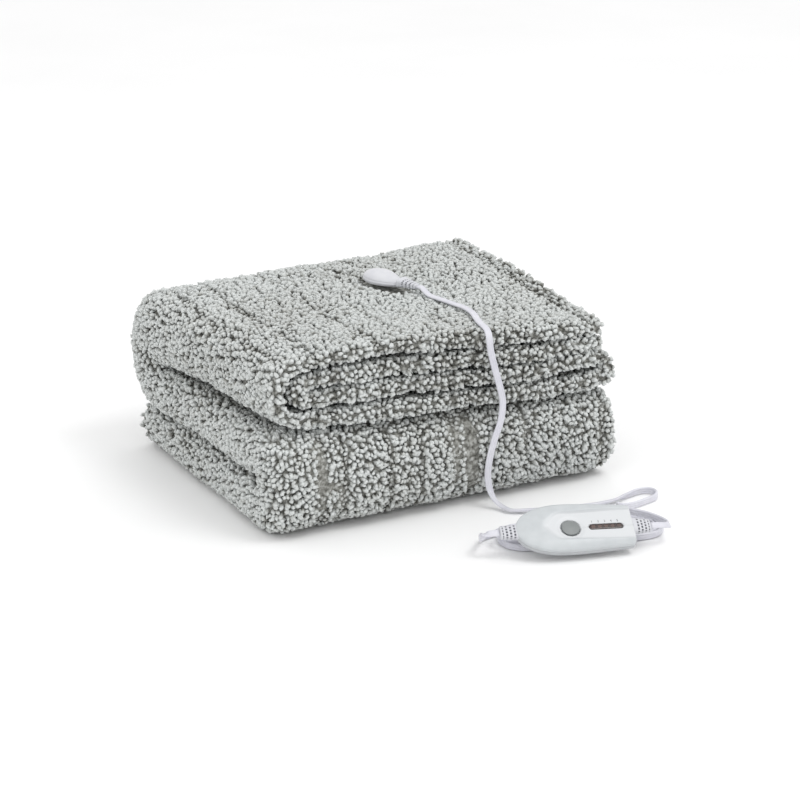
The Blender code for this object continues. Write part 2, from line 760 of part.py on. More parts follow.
def build_cords(home, white, root, connector_relief, end_relief, nose_relief, plug_relief):
    loop = [level_place(*point).translation for point in LEAD_LOOP]
    ending = relief_tip(end_relief)[::-1]
    lead = relief_tip(connector_relief) + list(LEAD_ROUTE) + loop + ending
    cord_tube("lead_cord", lead, CORD_POINTS, home, white, root)
    for name, relief, route in (
        ("nose_cord", nose_relief, NOSE_ROUTE),
        ("plug_cord", plug_relief, PLUG_ROUTE),
    ):
        world = relief_tip(relief) + [level_place(*point).translation for point in route]
        cord_tube(name, world, SHORT_CORD_POINTS, home, white, root)


def main():
    clear_scene()
    parts = new_collection(MODEL)
    cutters = new_collection("cutters")
    white = new_material("white_plastic", (0.82, 0.83, 0.85), 0.35)
    cord_white = new_material("cord_white", (0.85, 0.85, 0.88), 0.4)
    grey = new_material("grey_button", (0.28, 0.31, 0.31), 0.45)
    dark = new_material("dark_window", (0.03, 0.015, 0.015), 0.15)
    metal = new_material("plug_metal", (0.72, 0.72, 0.70), 0.25, 1.0)
    root = add_empty("stack_place", parts, Matrix.Translation(STACK_AT))
    build_blanket(parts, root)
    connector_relief = build_connector(parts, white, root)
    end_relief, nose_relief = build_controller(parts, cutters, white, grey, dark, root)
    build_hank(parts, cord_white, root)
    plug_relief = build_plug(parts, white, metal, root)
    build_cords(parts, cord_white, root, connector_relief, end_relief, nose_relief, plug_relief)


main()
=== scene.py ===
# %% [markdown]
# # A folded electric blanket with its hand controller
# The blanket is one long-pile cloth, folded into an uneven stack. A flat ribbed lead runs from a plug-in
# connector on its top, over its front, to a hand controller that lies on its own wound mains lead. The
# rigid layout is a finished CAD model, loaded first. This lesson adds what the eye sees: the pile, the ribs
# of the cord, the controller's moulded face and the light.

import math

import bmesh
import bpy
import numpy as np
from mathutils import Matrix, Vector
from mathutils.bvhtree import BVHTree


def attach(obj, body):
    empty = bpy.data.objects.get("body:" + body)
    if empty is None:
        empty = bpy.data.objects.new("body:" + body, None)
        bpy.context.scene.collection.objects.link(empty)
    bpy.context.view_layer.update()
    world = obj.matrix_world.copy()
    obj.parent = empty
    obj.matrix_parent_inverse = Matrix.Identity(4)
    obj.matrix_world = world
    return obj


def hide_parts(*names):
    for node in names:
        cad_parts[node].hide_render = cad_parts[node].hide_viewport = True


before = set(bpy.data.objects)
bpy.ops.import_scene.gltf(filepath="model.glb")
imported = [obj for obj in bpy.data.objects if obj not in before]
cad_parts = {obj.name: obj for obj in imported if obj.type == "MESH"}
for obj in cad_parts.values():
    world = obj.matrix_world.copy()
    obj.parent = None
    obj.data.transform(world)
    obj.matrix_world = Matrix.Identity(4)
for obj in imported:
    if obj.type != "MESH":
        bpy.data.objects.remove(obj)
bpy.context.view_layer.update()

# %% [markdown]
# ## The camera
# A long lens stands low and to the left of the stack's front, so that the front, the left side and the top
# all show. The origin is the middle of the stack's underside, and the stack's own axes start a little
# beside it.

# %% Camera
STACK_AT = np.array([0.0046, -0.0019, 0.0])
CAMERA_AT = np.array([-0.99404, -1.88839, 0.81221]) + STACK_AT
CAMERA_LOOKS = Vector((0.45077, 0.82924, -0.33040))
LENS_LENGTH, SENSOR_WIDTH = 99.0, 36.0


def add_object(name, data):
    """Puts a camera, light, text or mesh into the scene as an object."""
    added = bpy.data.objects.new(name, data)
    bpy.context.scene.collection.objects.link(added)
    return added


camera_data = bpy.data.cameras.new("studio_camera")
camera_data.lens = LENS_LENGTH
camera_data.sensor_width = SENSOR_WIDTH
camera = add_object("studio_camera", camera_data)
camera.location = CAMERA_AT.tolist()
camera.rotation_euler = CAMERA_LOOKS.to_track_quat("-Z", "Y").to_euler()
bpy.context.scene.camera = camera
print("camera at", [round(float(v), 3) for v in CAMERA_AT])

# %% [markdown]
# ## From a grid to a piece
# Every new piece is a grid of points worked out with numpy, so one helper turns a grid into a mesh. Where a
# grid closes round on itself it is joined up, and its two open ends get caps, so that each piece is a
# closed skin.

# %% Grid to mesh
def own_piece(name, mesh, body):
    """Makes a mesh a piece of the blanket: it rides on a body."""
    piece = add_object(name, mesh)
    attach(piece, body)
    return piece


def add_piece(name, points, faces, material, body):
    """Puts points (n, 3) and a list of face index arrays into one mesh that rides on a body."""
    mesh = bpy.data.meshes.new(name)
    mesh.from_pydata(points.reshape(-1, 3).tolist(), [], faces)
    mesh.validate()
    mesh.shade_smooth()
    mesh.materials.append(material)
    return own_piece(name, mesh, body)


def tube_faces(rings, count):
    """Faces of a grid of closed rings: quads between neighbours, and one flat cap at each end."""
    ring = np.arange(rings - 1)[:, None] * count
    here = np.arange(count)[None, :]
    after = (here + 1) % count
    quads = np.stack([ring + here, ring + after, ring + count + after, ring + count + here], axis=-1)
    faces = quads.reshape(-1, 4).tolist()
    faces.append(list(range(count - 1, -1, -1)))
    faces.append(list(range((rings - 1) * count, rings * count)))
    return faces


def outward(piece):
    """Turns all faces of a closed piece outwards."""
    shape = bmesh.new()
    shape.from_mesh(piece.data)
    bmesh.ops.recalc_face_normals(shape, faces=shape.faces)
    shape.to_mesh(piece.data)
    shape.free()
    return piece


def soft_step(value):
    """0 below 0, 1 above 1, and 3t^2 - 2t^3 between."""
    held = np.clip(value, 0.0, 1.0)
    return held * held * (3.0 - 2.0 * held)


def bell(value, power=2):
    """1 at 0, falling on both sides as e to the minus value^power."""
    return np.exp(-(value**power))


def round_angles(count):
    """Evenly spaced angles that make one whole turn."""
    return np.arange(count) * 2 * math.pi / count


def unit(rows):
    """Each row divided by its own length."""
    return rows / np.linalg.norm(rows, axis=1, keepdims=True)


def give_values(piece, name, values):
    """Stores one number a point on the piece, for its material to read."""
    layer = piece.data.attributes.new(name, "FLOAT", "POINT")
    layer.data.foreach_set("value", np.ascontiguousarray(values, dtype=np.float32).ravel())


def place_points(matrix, points):
    """Carries local points into the object's frame: each is turned and then moved by a 4 by 4 matrix."""
    grid = np.array(matrix)
    return points @ grid[:3, :3].T + grid[:3, 3]


def add_skin(name, rings, material, at=None, body="stack"):
    """A closed piece from a (rings, count, 3) grid, carried to its place and with its faces outwards."""
    points = rings if at is None else place_points(at, rings)
    return outward(add_piece(name, points, tube_faces(*rings.shape[:2]), material, body))


# %% [markdown]
# ## Finishes
# Vinyl, moulded plastic and metal are nearly plain, yet none is flat: each has a very fine grain that
# breaks its highlight, and a slight drift of tone. One function builds them from two tones, a gloss, and the
# scale and depth of the grain.

# %% Material builder
def start_material(name):
    """A material, its nodes, links and shader, and the place of each point in the object's own metres."""
    material = bpy.data.materials.new(name)
    material.use_nodes = True
    nodes, links = material.node_tree.nodes, material.node_tree.links
    place = nodes.new("ShaderNodeTexCoord")
    return material, nodes, links, nodes["Principled BSDF"], place.outputs["Object"]


def read_value(nodes, name):
    """The number that give_values stored at each point under this name."""
    reader = nodes.new("ShaderNodeAttribute")
    reader.attribute_name = name
    return reader.outputs["Fac"]


def add_noise(nodes, links, place, scale, detail=3.0):
    """Soft noise from 0 to 1, with about this many cells a metre."""
    noise = nodes.new("ShaderNodeTexNoise")
    noise.inputs["Scale"].default_value = scale
    noise.inputs["Detail"].default_value = detail
    links.new(place, noise.inputs["Vector"])
    return noise.outputs["Fac"]


def add_ramp(nodes, links, factor, stops):
    """Colours that run from one (place, colour) stop to the next."""
    ramp = nodes.new("ShaderNodeValToRGB")
    bar = ramp.color_ramp
    while len(bar.elements) < len(stops):
        bar.elements.new(0.5)
    for element, (at, colour) in zip(bar.elements, stops):
        element.position = at
        element.color = (*colour, 1.0)
    links.new(factor, ramp.inputs["Fac"])
    return ramp.outputs["Color"]


def add_bump(nodes, links, height, shader, distance, strength=1.0):
    """Tilts the shading as if the height, from 0 to 1, stood up by this distance."""
    bump = nodes.new("ShaderNodeBump")
    bump.inputs["Distance"].default_value = distance
    bump.inputs["Strength"].default_value = strength
    links.new(height, bump.inputs["Height"])
    links.new(bump.outputs["Normal"], shader.inputs["Normal"])


def add_range(nodes, links, value, low, high):
    """Moves a value from the range 0 to 1 into the range low to high."""
    spread = nodes.new("ShaderNodeMapRange")
    spread.inputs["To Min"].default_value = low
    spread.inputs["To Max"].default_value = high
    links.new(value, spread.inputs["Value"])
    return spread.outputs["Result"]


def moulded(name, dark, pale, gloss, grain, depth, metallic=0.0, coat=0.0):
    """A moulded finish: tone drifts from dark to pale over 1 cm, and a fine grain breaks the highlight."""
    material, nodes, links, shader, place = start_material(name)
    drift = add_noise(nodes, links, place, 90.0)
    links.new(add_ramp(nodes, links, drift, ((0.35, dark), (0.65, pale))), shader.inputs["Base Color"])
    fine = add_noise(nodes, links, place, grain, 2.0)
    links.new(add_range(nodes, links, fine, gloss - 0.05, gloss + 0.07), shader.inputs["Roughness"])
    add_bump(nodes, links, fine, shader, depth, 0.6)
    shader.inputs["Metallic"].default_value = metallic
    shader.inputs["Coat Weight"].default_value = coat
    return material


white_shell = moulded("white_shell", (0.50, 0.525, 0.54), (0.54, 0.565, 0.58), 0.36, 1500.0, 0.00005)
base_shell = moulded("base_shell", (0.43, 0.445, 0.46), (0.47, 0.485, 0.50), 0.45, 1500.0, 0.00006)
cord_vinyl = moulded("cord_vinyl", (0.64, 0.64, 0.70), (0.69, 0.69, 0.74), 0.33, 1200.0, 0.00006)
relief_vinyl = moulded("relief_vinyl", (0.60, 0.605, 0.64), (0.65, 0.655, 0.68), 0.42, 1300.0, 0.00006)
blade_steel = moulded("blade_steel", (0.62, 0.62, 0.60), (0.72, 0.72, 0.70), 0.26, 2200.0, 0.00004, 1.0)
button_grey = moulded("button_grey", (0.195, 0.210, 0.210), (0.230, 0.245, 0.245), 0.42, 1800.0, 0.00005)
smoked_window = moulded("smoked_window", (0.020, 0.010, 0.009), (0.034, 0.016, 0.014), 0.14, 900.0, 0.00002)
lamp_red = moulded("lamp_red", (0.060, 0.032, 0.026), (0.085, 0.044, 0.034), 0.30, 900.0, 0.00002)
print_grey = moulded("print_grey", (0.10, 0.10, 0.11), (0.14, 0.14, 0.15), 0.50, 900.0, 0.00002)
DULL_SHINE = 0.42
for dull in (white_shell, base_shell, relief_vinyl, cord_vinyl):
    dull.node_tree.nodes["Principled BSDF"].inputs["Specular IOR Level"].default_value = DULL_SHINE
face_shell_with_painted_highlight = moulded("face_shell_with_painted_highlight", (0.50, 0.525, 0.54), (0.54, 0.565, 0.58), 0.34, 1500.0, 0.00005)
print("made", len(bpy.data.materials), "materials")

# %% [markdown]
# The cover's sunken panel gets a painted highlight: it is painted brighter than the shell round it. A Mix
# node goes from the shell's colour to the panel's by a number that is stored on the cover. Its sockets for
# factor, first colour, second colour and result are found by their number, because the node has several of
# each name.

# %% The panel's painted highlight
MIX_SHARE, MIX_FIRST, MIX_SECOND, MIX_RESULT = 0, 6, 7, 2
face_nodes, face_links = face_shell_with_painted_highlight.node_tree.nodes, face_shell_with_painted_highlight.node_tree.links
# Painted highlight: the sunken panel is given a paler colour than the shell, as if light fell on it.
panel_painted_highlight = face_nodes.new("ShaderNodeMix")
panel_painted_highlight.data_type = "RGBA"
panel_painted_highlight.inputs[MIX_SECOND].default_value = (0.61, 0.625, 0.64, 1.0)
face_links.new(read_value(face_nodes, "panel"), panel_painted_highlight.inputs[MIX_SHARE])
face_links.new(face_nodes["Color Ramp"].outputs["Color"], panel_painted_highlight.inputs[MIX_FIRST])
face_links.new(panel_painted_highlight.outputs[MIX_RESULT], face_nodes["Principled BSDF"].inputs["Base Color"])
print("face_shell_with_painted_highlight has", len(face_nodes), "nodes")

# %% [markdown]
# ## The routes of the two leads
# A cord is a fixed length of something limp, so its route comes before its shape. The blanket's lead leaves
# the connector, lies in the pile, drops over the front and runs in loops behind the controller to its flat
# end. The mains lead leaves the controller's nose, turns back, and its whole length is wound into a long
# flat hank.

# %% Route tables and a smooth line through them
# The loops, the hank and the plug are laid out on their own axes on the floor, beside the controller.
LEVEL = Matrix.Translation((STACK_AT + (0.0583, -0.3215, 0.0)).tolist()) @ Matrix.Rotation(
    math.radians(-27), 4, "Z"
)

LEAD_OVER = np.array([
    (0.0459, -0.0370, 0.1806),
    (0.0492, -0.0500, 0.1800),
    (0.0540, -0.0700, 0.1795),
    (0.0575, -0.0900, 0.1793),
    (0.0545, -0.1100, 0.1796),
    (0.0480, -0.1280, 0.1800),
    (0.0425, -0.1450, 0.1805),
    (0.0405, -0.1550, 0.1808),
    (0.0395, -0.1632, 0.1782),
    (0.0393, -0.1668, 0.1710),
    (0.0412, -0.1660, 0.1600),
    (0.0470, -0.1650, 0.1400),
    (0.0530, -0.1650, 0.1200),
    (0.0560, -0.1655, 0.1050),
    (0.0530, -0.1675, 0.0870),
    (0.0450, -0.1690, 0.0680),
    (0.0395, -0.1700, 0.0500),
    (0.0375, -0.1703, 0.0330),
    (0.0388, -0.1725, 0.0190),
    (0.0415, -0.1775, 0.0095),
    (0.0450, -0.1850, 0.0048),
    (0.0490, -0.1950, 0.0036),
])
LEAD_LOOP = np.array([
    (-0.0527, 0.1080, 0.0036),
    (-0.0350, 0.1100, 0.0038),
    (0.0000, 0.1160, 0.0040),
    (0.0300, 0.1260, 0.0040),
    (0.0500, 0.1410, 0.0040),
    (0.0640, 0.1530, 0.0040),
    (0.0750, 0.1560, 0.0040),
    (0.0815, 0.1495, 0.0040),
    (0.0795, 0.1380, 0.0040),
    (0.0690, 0.1280, 0.0040),
    (0.0552, 0.1170, 0.0040),
    (0.0430, 0.1080, 0.0064),
    (0.0365, 0.0980, 0.0120),
    (0.0385, 0.0860, 0.0138),
    (0.0480, 0.0770, 0.0138),
    (0.0600, 0.0700, 0.0138),
    (0.0700, 0.0600, 0.0138),
    (0.0765, 0.0480, 0.0145),
    (0.0782, 0.0385, 0.0160),
    (0.0765, 0.0312, 0.0185),
    (0.0712, 0.0270, 0.0201),
])
NOSE_TURN = np.array([
    (-0.0958, -0.0010, 0.0244),
    (-0.0998, 0.0040, 0.0205),
    (-0.1012, 0.0130, 0.0148),
    (-0.1005, 0.0235, 0.0098),
    (-0.0985, 0.0330, 0.0062),
    (-0.0960, 0.0400, 0.0045),
])
PLUG_RISE = np.array([
    (-0.0620, 0.0345, 0.0129),
    (-0.0550, 0.0345, 0.0130),
    (-0.0490, 0.0348, 0.0146),
])
STEPS_A_KNOT = 16


def smooth_line(knots, spacing):
    """An even line through knots: cubic pieces whose slope at each knot is half its neighbours' chord."""
    padded = np.vstack([2 * knots[0] - knots[1], knots, 2 * knots[-1] - knots[-2]])
    p0, p1, p2, p3 = (padded[k : len(knots) - 1 + k, None, :] for k in range(4))
    t = np.linspace(0, 1, STEPS_A_KNOT, endpoint=False)[None, :, None]
    bend = p1 * 2 + (p2 - p0) * t + (2 * p0 - 5 * p1 + 4 * p2 - p3) * t**2
    line = 0.5 * (bend + (3 * p1 - p0 - 3 * p2 + p3) * t**3)
    line = np.vstack([line.reshape(-1, 3), knots[-1:]])
    walked = np.concatenate([[0], np.cumsum(np.linalg.norm(np.diff(line, axis=0), axis=1))])
    stops = np.linspace(0, walked[-1], max(int(walked[-1] / spacing), 4))
    return np.stack([np.interp(stops, walked, line[:, k]) for k in range(3)], axis=1)


def line_length(line):
    """The sum of the steps between neighbouring points."""
    return float(np.linalg.norm(np.diff(line, axis=0), axis=1).sum())


# %% [markdown]
# ## Where the hard pieces stand
# The connector, the controller and the plug each have their own axes in the CAD. The same places are
# repeated here, so that a detailed piece can be drawn on simple axes and then carried to where it lies.

# %% Places
def turned(at, heading, pitch=0.0, tilt=0.0):
    """A place: moved to a point, then headed about Z, pitched about Y and tilted about X, in degrees."""
    return (
        Matrix.Translation((STACK_AT + at).tolist())
        @ Matrix.Rotation(math.radians(heading), 4, "Z")
        @ Matrix.Rotation(math.radians(pitch), 4, "Y")
        @ Matrix.Rotation(math.radians(tilt), 4, "X")
    )


CONNECTOR = turned((0.0275, 0.0260, 0.1812), -72.0, 1.0)
CONTROLLER = turned((0.0560, -0.3255, 0.0034), -17.0, 1.8, 33.0)
PLUG = LEVEL @ Matrix.Translation((0.0, 0.043, 0.010)) @ Matrix.Rotation(math.radians(190), 4, "Z")
RELIEFS = dict(
    connector_relief=dict(
        on=CONNECTOR, at=(0.0253, 0.0, 0.0052), back=False, length=0.022, wide=(0.0085, 0.0050),
        narrow=(0.0042, 0.0028),
    ),
    controller_end_relief=dict(
        on=CONTROLLER, at=(0.0443, 0.026, 0.006), back=False, length=0.018, wide=(0.0088, 0.0052),
        narrow=(0.0068, 0.0032),
    ),
    controller_nose_relief=dict(
        on=CONTROLLER, at=(-0.0635, 0.026, 0.006), back=True, length=0.019, wide=(0.0080, 0.0046),
        narrow=(0.0072, 0.0032),
    ),
    plug_relief=dict(
        on=PLUG, at=(0.0163, 0.0, 0.0065), back=False, length=0.022, wide=(0.0070, 0.0046),
        narrow=(0.0042, 0.0028),
    ),
)


def relief_place(name):
    """The relief's own axes in the object's frame: +X runs from its wide end to its narrow end."""
    row = RELIEFS[name]
    spin = Matrix.Rotation(math.pi if row["back"] else 0.0, 4, "Z")
    return row["on"] @ Matrix.Translation(row["at"]) @ spin


def relief_tip(name, past=0.0006):
    """Two points beyond the relief's narrow end, on its axis."""
    length = RELIEFS[name]["length"]
    axis = np.array([(length + past, 0.0, 0.0), (length + 0.006, 0.0, 0.0)])
    return place_points(relief_place(name), axis)


for relief_name in RELIEFS:
    print(relief_name, "ends at", relief_tip(relief_name)[0].round(4))

# %% [markdown]
# ## The flat ribbed cord
# The lead is a flat cord of three joined ribs, 7 mm wide and 3 mm thick. Its section has three swells side
# by side, and it is carried along the route. A flat cord lies on its flat side where it runs free, and
# stands on its edge round a tight loop, so a second line of directions says which way its flat side faces.

# %% Cord section and sweep
CORD_WIDTH = 0.0070
CORD_THICK = 0.0031


def rib_section(count=32):
    """Three ribs: across is half the width times x = cos a, and up swells as |cos 1.5 pi x|."""
    angle = round_angles(count)
    across = np.cos(angle) * (0.5 * CORD_WIDTH)
    share = np.cos(angle)
    swell = 0.50 + 0.50 * np.abs(np.cos(1.5 * math.pi * share))
    rim = np.sqrt(np.clip(1.0 - np.abs(share) ** 6, 0.0, 1.0))
    up = np.sign(np.sin(angle)) * rim * swell * (0.5 * CORD_THICK)
    return across, up


def sweep_cord(line, facing):
    """Carries the section along a line: side = facing x tangent, and up completes the square frame."""
    tangent = unit(np.gradient(line, axis=0))
    side = unit(np.cross(tangent, facing))
    up = np.cross(side, tangent)
    across, height = rib_section()
    return line[:, None] + side[:, None] * across[None, :, None] + up[:, None] * height[None, :, None]


def ease_facing(facing, steps):
    """Averages the directions with their neighbours, so the cord twists over a length and not at a point."""
    for _ in range(steps):
        middle = facing[:-2] + 2.0 * facing[1:-1] + facing[2:]
        facing = np.vstack([facing[:1], unit(middle), facing[-1:]])
    return facing


def edge_facing(line, turn_way):
    """Directions square to the line and level, so the cord stands on its edge."""
    tangent = np.gradient(line, axis=0)
    return unit(np.cross(tangent, (0.0, 0.0, 1.0)) * turn_way)


# %% [markdown]
# ## The blanket's lead
# On the blanket the flat side faces up, over the front it faces forward, and in the loops by the controller
# it stands on edge. The short stretch into the controller twists to lie with the relief's own width.

# %% Lead from connector to controller
LEAD_SPACING = 0.0025
FRONT_EDGE, FRONT_FOOT = (0.0395, -0.163, 0.178), (0.0415, -0.1775, 0.0095)
FACES_UP, FACES_FORWARD = (0.05, 0.0, 1.0), (-0.15, -1.0, 0.0)
FACES_BACK = np.array((0.13, 0.30, 0.93))
lead_knots = np.vstack([
    relief_tip("connector_relief"),
    LEAD_OVER + STACK_AT,
    place_points(LEVEL, LEAD_LOOP),
    relief_tip("controller_end_relief")[::-1],
])
lead_line = smooth_line(lead_knots, LEAD_SPACING)
lead_length = line_length(lead_line)
walked = np.linspace(0.0, lead_length, len(lead_line))


def walked_to(place):
    """How far along the lead its nearest point to a place on the stack lies."""
    return walked[np.argmin(np.abs(lead_line - (STACK_AT + place)).sum(axis=1))]


drop_starts, drop_ends = walked_to(FRONT_EDGE), walked_to(FRONT_FOOT)
past_drop = soft_step((walked - drop_ends + 0.02) / 0.03)
over_front = soft_step((walked - drop_starts + 0.012) / 0.02) * (1 - past_drop)
lead_facing = np.outer(1 - over_front, FACES_UP) + np.outer(over_front, FACES_FORWARD)
leans_back = past_drop[:, None]
lead_facing = lead_facing * (1 - leans_back) + FACES_BACK * leans_back
into_controller = soft_step((walked - lead_length + 0.03) / 0.02)
on_edge = soft_step((walked - drop_ends - 0.12) / 0.04) * (1 - into_controller)
lead_facing = lead_facing * (1 - on_edge[:, None]) + edge_facing(lead_line, -1.0) * on_edge[:, None]
lead_facing[-6:] = np.array(CONTROLLER.to_3x3() @ Vector((0, 0, 1)))
lead_facing = ease_facing(unit(lead_facing), 8)
blanket_lead = add_skin("blanket_lead", sweep_cord(lead_line, lead_facing), cord_vinyl)
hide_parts("lead_cord")
print("blanket lead is", round(lead_length, 3), "m long")

# %% [markdown]
# ## The wound mains lead
# The mains lead is wound into a long hank of nested turns, as it comes from its box. Each turn is two
# straight runs and two half circles. The turns grow inwards like a flat spiral. The last one climbs onto
# the others at the left end, where the turns show beside the controller.

# %% Mains lead from the nose, through the hank, to the plug
HANK = LEVEL @ Matrix.Translation((-0.004, 0.0505, 0.0)) @ Matrix.Rotation(math.radians(13), 4, "Z")
HANK_TURNS = 4.86
HANK_HALF_RUN = 0.0555
HANK_OUTER = 0.0282
HANK_STEP = 0.0038
HANK_LEVEL = 0.0040
HANK_SPACING = 0.0030
HANK_STARTS_AT, HANK_EVERY = 24, 6
HANK_LAST_LOOP = np.array([
    (-0.0130, -0.0100, 0.0058),
    (-0.0300, -0.0108, 0.0100),
    (-0.0470, -0.0140, 0.0128),
    (-0.0640, -0.0175, 0.0130),
    (-0.0765, -0.0155, 0.0130),
    (-0.0835, -0.0085, 0.0130),
    (-0.0825, -0.0010, 0.0130),
    (-0.0760, 0.0025, 0.0130),
    (-0.0680, 0.0005, 0.0130),
])


def hank_line(count=620):
    """Turns of a round-ended oblong whose radius shrinks evenly: left end, back run, right end, front run."""
    turn = np.linspace(0.0, HANK_TURNS, count)
    radius = HANK_OUTER - HANK_STEP * turn
    phase = (turn % 1.0) * 4.0
    quarter = np.floor(phase).astype(int)
    part = phase - quarter
    left, right = quarter == 0, quarter == 2
    angle = math.pi * np.where(left, 1.5 - part, 0.5 - part)
    run_x = HANK_HALF_RUN * np.where(quarter == 1, 2 * part - 1, 1 - 2 * part)
    out, up = radius * np.cos(angle), radius * np.sin(angle)
    x = np.select([left, right], [out - HANK_HALF_RUN, out + HANK_HALF_RUN], run_x)
    y = np.select([left | right, quarter == 1], [up, radius], -radius)
    return np.stack([x, y, np.full(count, HANK_LEVEL)], axis=1)


wound = place_points(HANK, hank_line()[HANK_STARTS_AT::HANK_EVERY])
last_loop = place_points(HANK, HANK_LAST_LOOP)
nose_part = np.vstack([relief_tip("controller_nose_relief"), place_points(LEVEL, NOSE_TURN)])
plug_part = np.vstack([place_points(LEVEL, PLUG_RISE), relief_tip("plug_relief")[::-1]])
mains_knots = np.vstack([nose_part, wound, last_loop, plug_part])
mains_line = smooth_line(mains_knots, HANK_SPACING)
mains_length = line_length(mains_line)
mains_walk = np.linspace(0.0, mains_length, len(mains_line))
leaves_nose = 1 - soft_step((mains_walk - 0.010) / 0.02)
flat_end = leaves_nose + soft_step((mains_walk - mains_length + 0.035) / 0.02)
flat_up = np.array(CONTROLLER.to_3x3() @ Vector((0, 0, 1)))
mains_facing = edge_facing(mains_line, 1.0) * (1 - flat_end[:, None]) + flat_up * flat_end[:, None]
mains_facing = ease_facing(unit(mains_facing), 6)
mains_lead = add_skin("mains_lead", sweep_cord(mains_line, mains_facing), cord_vinyl)
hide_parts("nose_cord", "hank", "plug_cord")
print("mains lead is", round(mains_length, 3), "m long")

# %% [markdown]
# ## Strain reliefs
# Where a cord meets a hard piece it passes through a soft tapered sleeve. Rows of short staggered slits let
# the sleeve bend. The sleeve is a tapered rounded box, and each slit is a small rectangle pushed in on its
# skin.

# %% Sleeve with slits
SLEEVE_RINGS, SLEEVE_SIDES = 60, 112
SLEEVE_SQUARE = 3.2
SLIT_DEEP = 0.0009


def slit_depth(along, around, columns, rows):
    """1 inside staggered rectangles: columns along the sleeve, rows round it, every other column shifted."""
    column = np.floor(along * columns)
    shift = 0.5 * (column % 2)
    from_middle_x = np.abs(along * columns - column - 0.5)
    row = around * rows + shift
    from_middle_y = np.abs(row - np.floor(row) - 0.5)
    inside = soft_step((0.26 - from_middle_x) / 0.08) * soft_step((0.34 - from_middle_y) / 0.06)
    return inside * (along > 0.14) * (along < 0.9)


def relief_skin(name, columns=5, rows=14):
    """Rounded boxes, |y|^k + |z|^k = 1, from wide to narrow along +X, less the depth of the slits."""
    row = RELIEFS[name]
    along = np.linspace(0.0, 1.0, SLEEVE_RINGS)
    angle = round_angles(SLEEVE_SIDES)
    grid_s, grid_a = np.meshgrid(along, angle, indexing="ij")
    across = np.cos(grid_a)
    up = np.sin(grid_a)
    reach = (np.abs(across) ** SLEEVE_SQUARE + np.abs(up) ** SLEEVE_SQUARE) ** (-1 / SLEEVE_SQUARE)
    half_y = row["wide"][0] + (row["narrow"][0] - row["wide"][0]) * grid_s
    half_z = row["wide"][1] + (row["narrow"][1] - row["wide"][1]) * grid_s
    ends = 1 - 0.16 * soft_step((grid_s - 0.95) / 0.05)
    rim = 1.0 - 0.05 * soft_step((grid_s - 0.06) / 0.03)
    slits = slit_depth(grid_s, grid_a / (2 * math.pi), columns, rows)
    size = reach * ends * rim
    y = across * (half_y * size - SLIT_DEEP * slits)
    z = up * (half_z * size - SLIT_DEEP * slits)
    return np.stack([row["length"] * grid_s, y, z], axis=-1), slits


def vinyl_with_painted_slit_shade():
    """Soft vinyl with painted shade inside its slits: it darkens by the stored slit value."""
    material, nodes, links, shader, place = start_material("vinyl_with_painted_slit_shade")
    fine = add_noise(nodes, links, place, 1300.0)
    # The dark tone is painted shade inside the slits.
    tones = (0.15, (0.60, 0.605, 0.64)), (0.8, (0.10, 0.10, 0.12))
    links.new(add_ramp(nodes, links, read_value(nodes, "slit_painted_shade"), tones), shader.inputs["Base Color"])
    links.new(add_range(nodes, links, fine, 0.40, 0.52), shader.inputs["Roughness"])
    add_bump(nodes, links, fine, shader, 0.00006, 0.5)
    return material


sleeve_vinyl = vinyl_with_painted_slit_shade()
for relief_name in RELIEFS:
    skin, slits = relief_skin(relief_name)
    sleeve = add_skin(
        relief_name + "_sleeve", skin, sleeve_vinyl, at=relief_place(relief_name)
    )
    give_values(sleeve, "slit_painted_shade", slits)
    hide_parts(relief_name)
print("made", len(RELIEFS), "strain reliefs")

# %% [markdown]
# ## The plug at the end of the mains lead
# The plug lies on the hank under the controller, so only its blades and back can be glimpsed. Its CAD
# solids are the right shape already and only get their finishes.

# %% Plug finishes
for node_name, finish in (
    ("plug_body", relief_vinyl), ("plug_blade_a", blade_steel), ("plug_blade_b", blade_steel),
):
    cad_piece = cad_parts[node_name]
    if not cad_piece.material_slots:
        cad_piece.data.materials.append(finish)
    for finish_place in cad_piece.material_slots:
        finish_place.link = "OBJECT"
        finish_place.material = finish
print("mains lead ends in its plug")

# %% [markdown]
# ## The connector
# The connector is a small leaf-shaped moulding that plugs into the cloth. It is a low dome: its outline is
# an egg, wide at the back and narrow at the cord, and its height falls off towards the rim. A patch of fine
# dots gives the thumb a hold.

# %% Connector shell
EGG_HALF_LONG, EGG_HALF_WIDE = 0.025, 0.0155
EGG_WALL, EGG_RISE = 0.0022, 0.0093
WALL_RINGS, DOME_RINGS, EGG_SIDES = 5, 46, 140
SEAM_LEVEL, SEAM_DEEP = 0.0042, 0.00035
DOT_PITCH, DOT_RISE = 2400, 0.00022


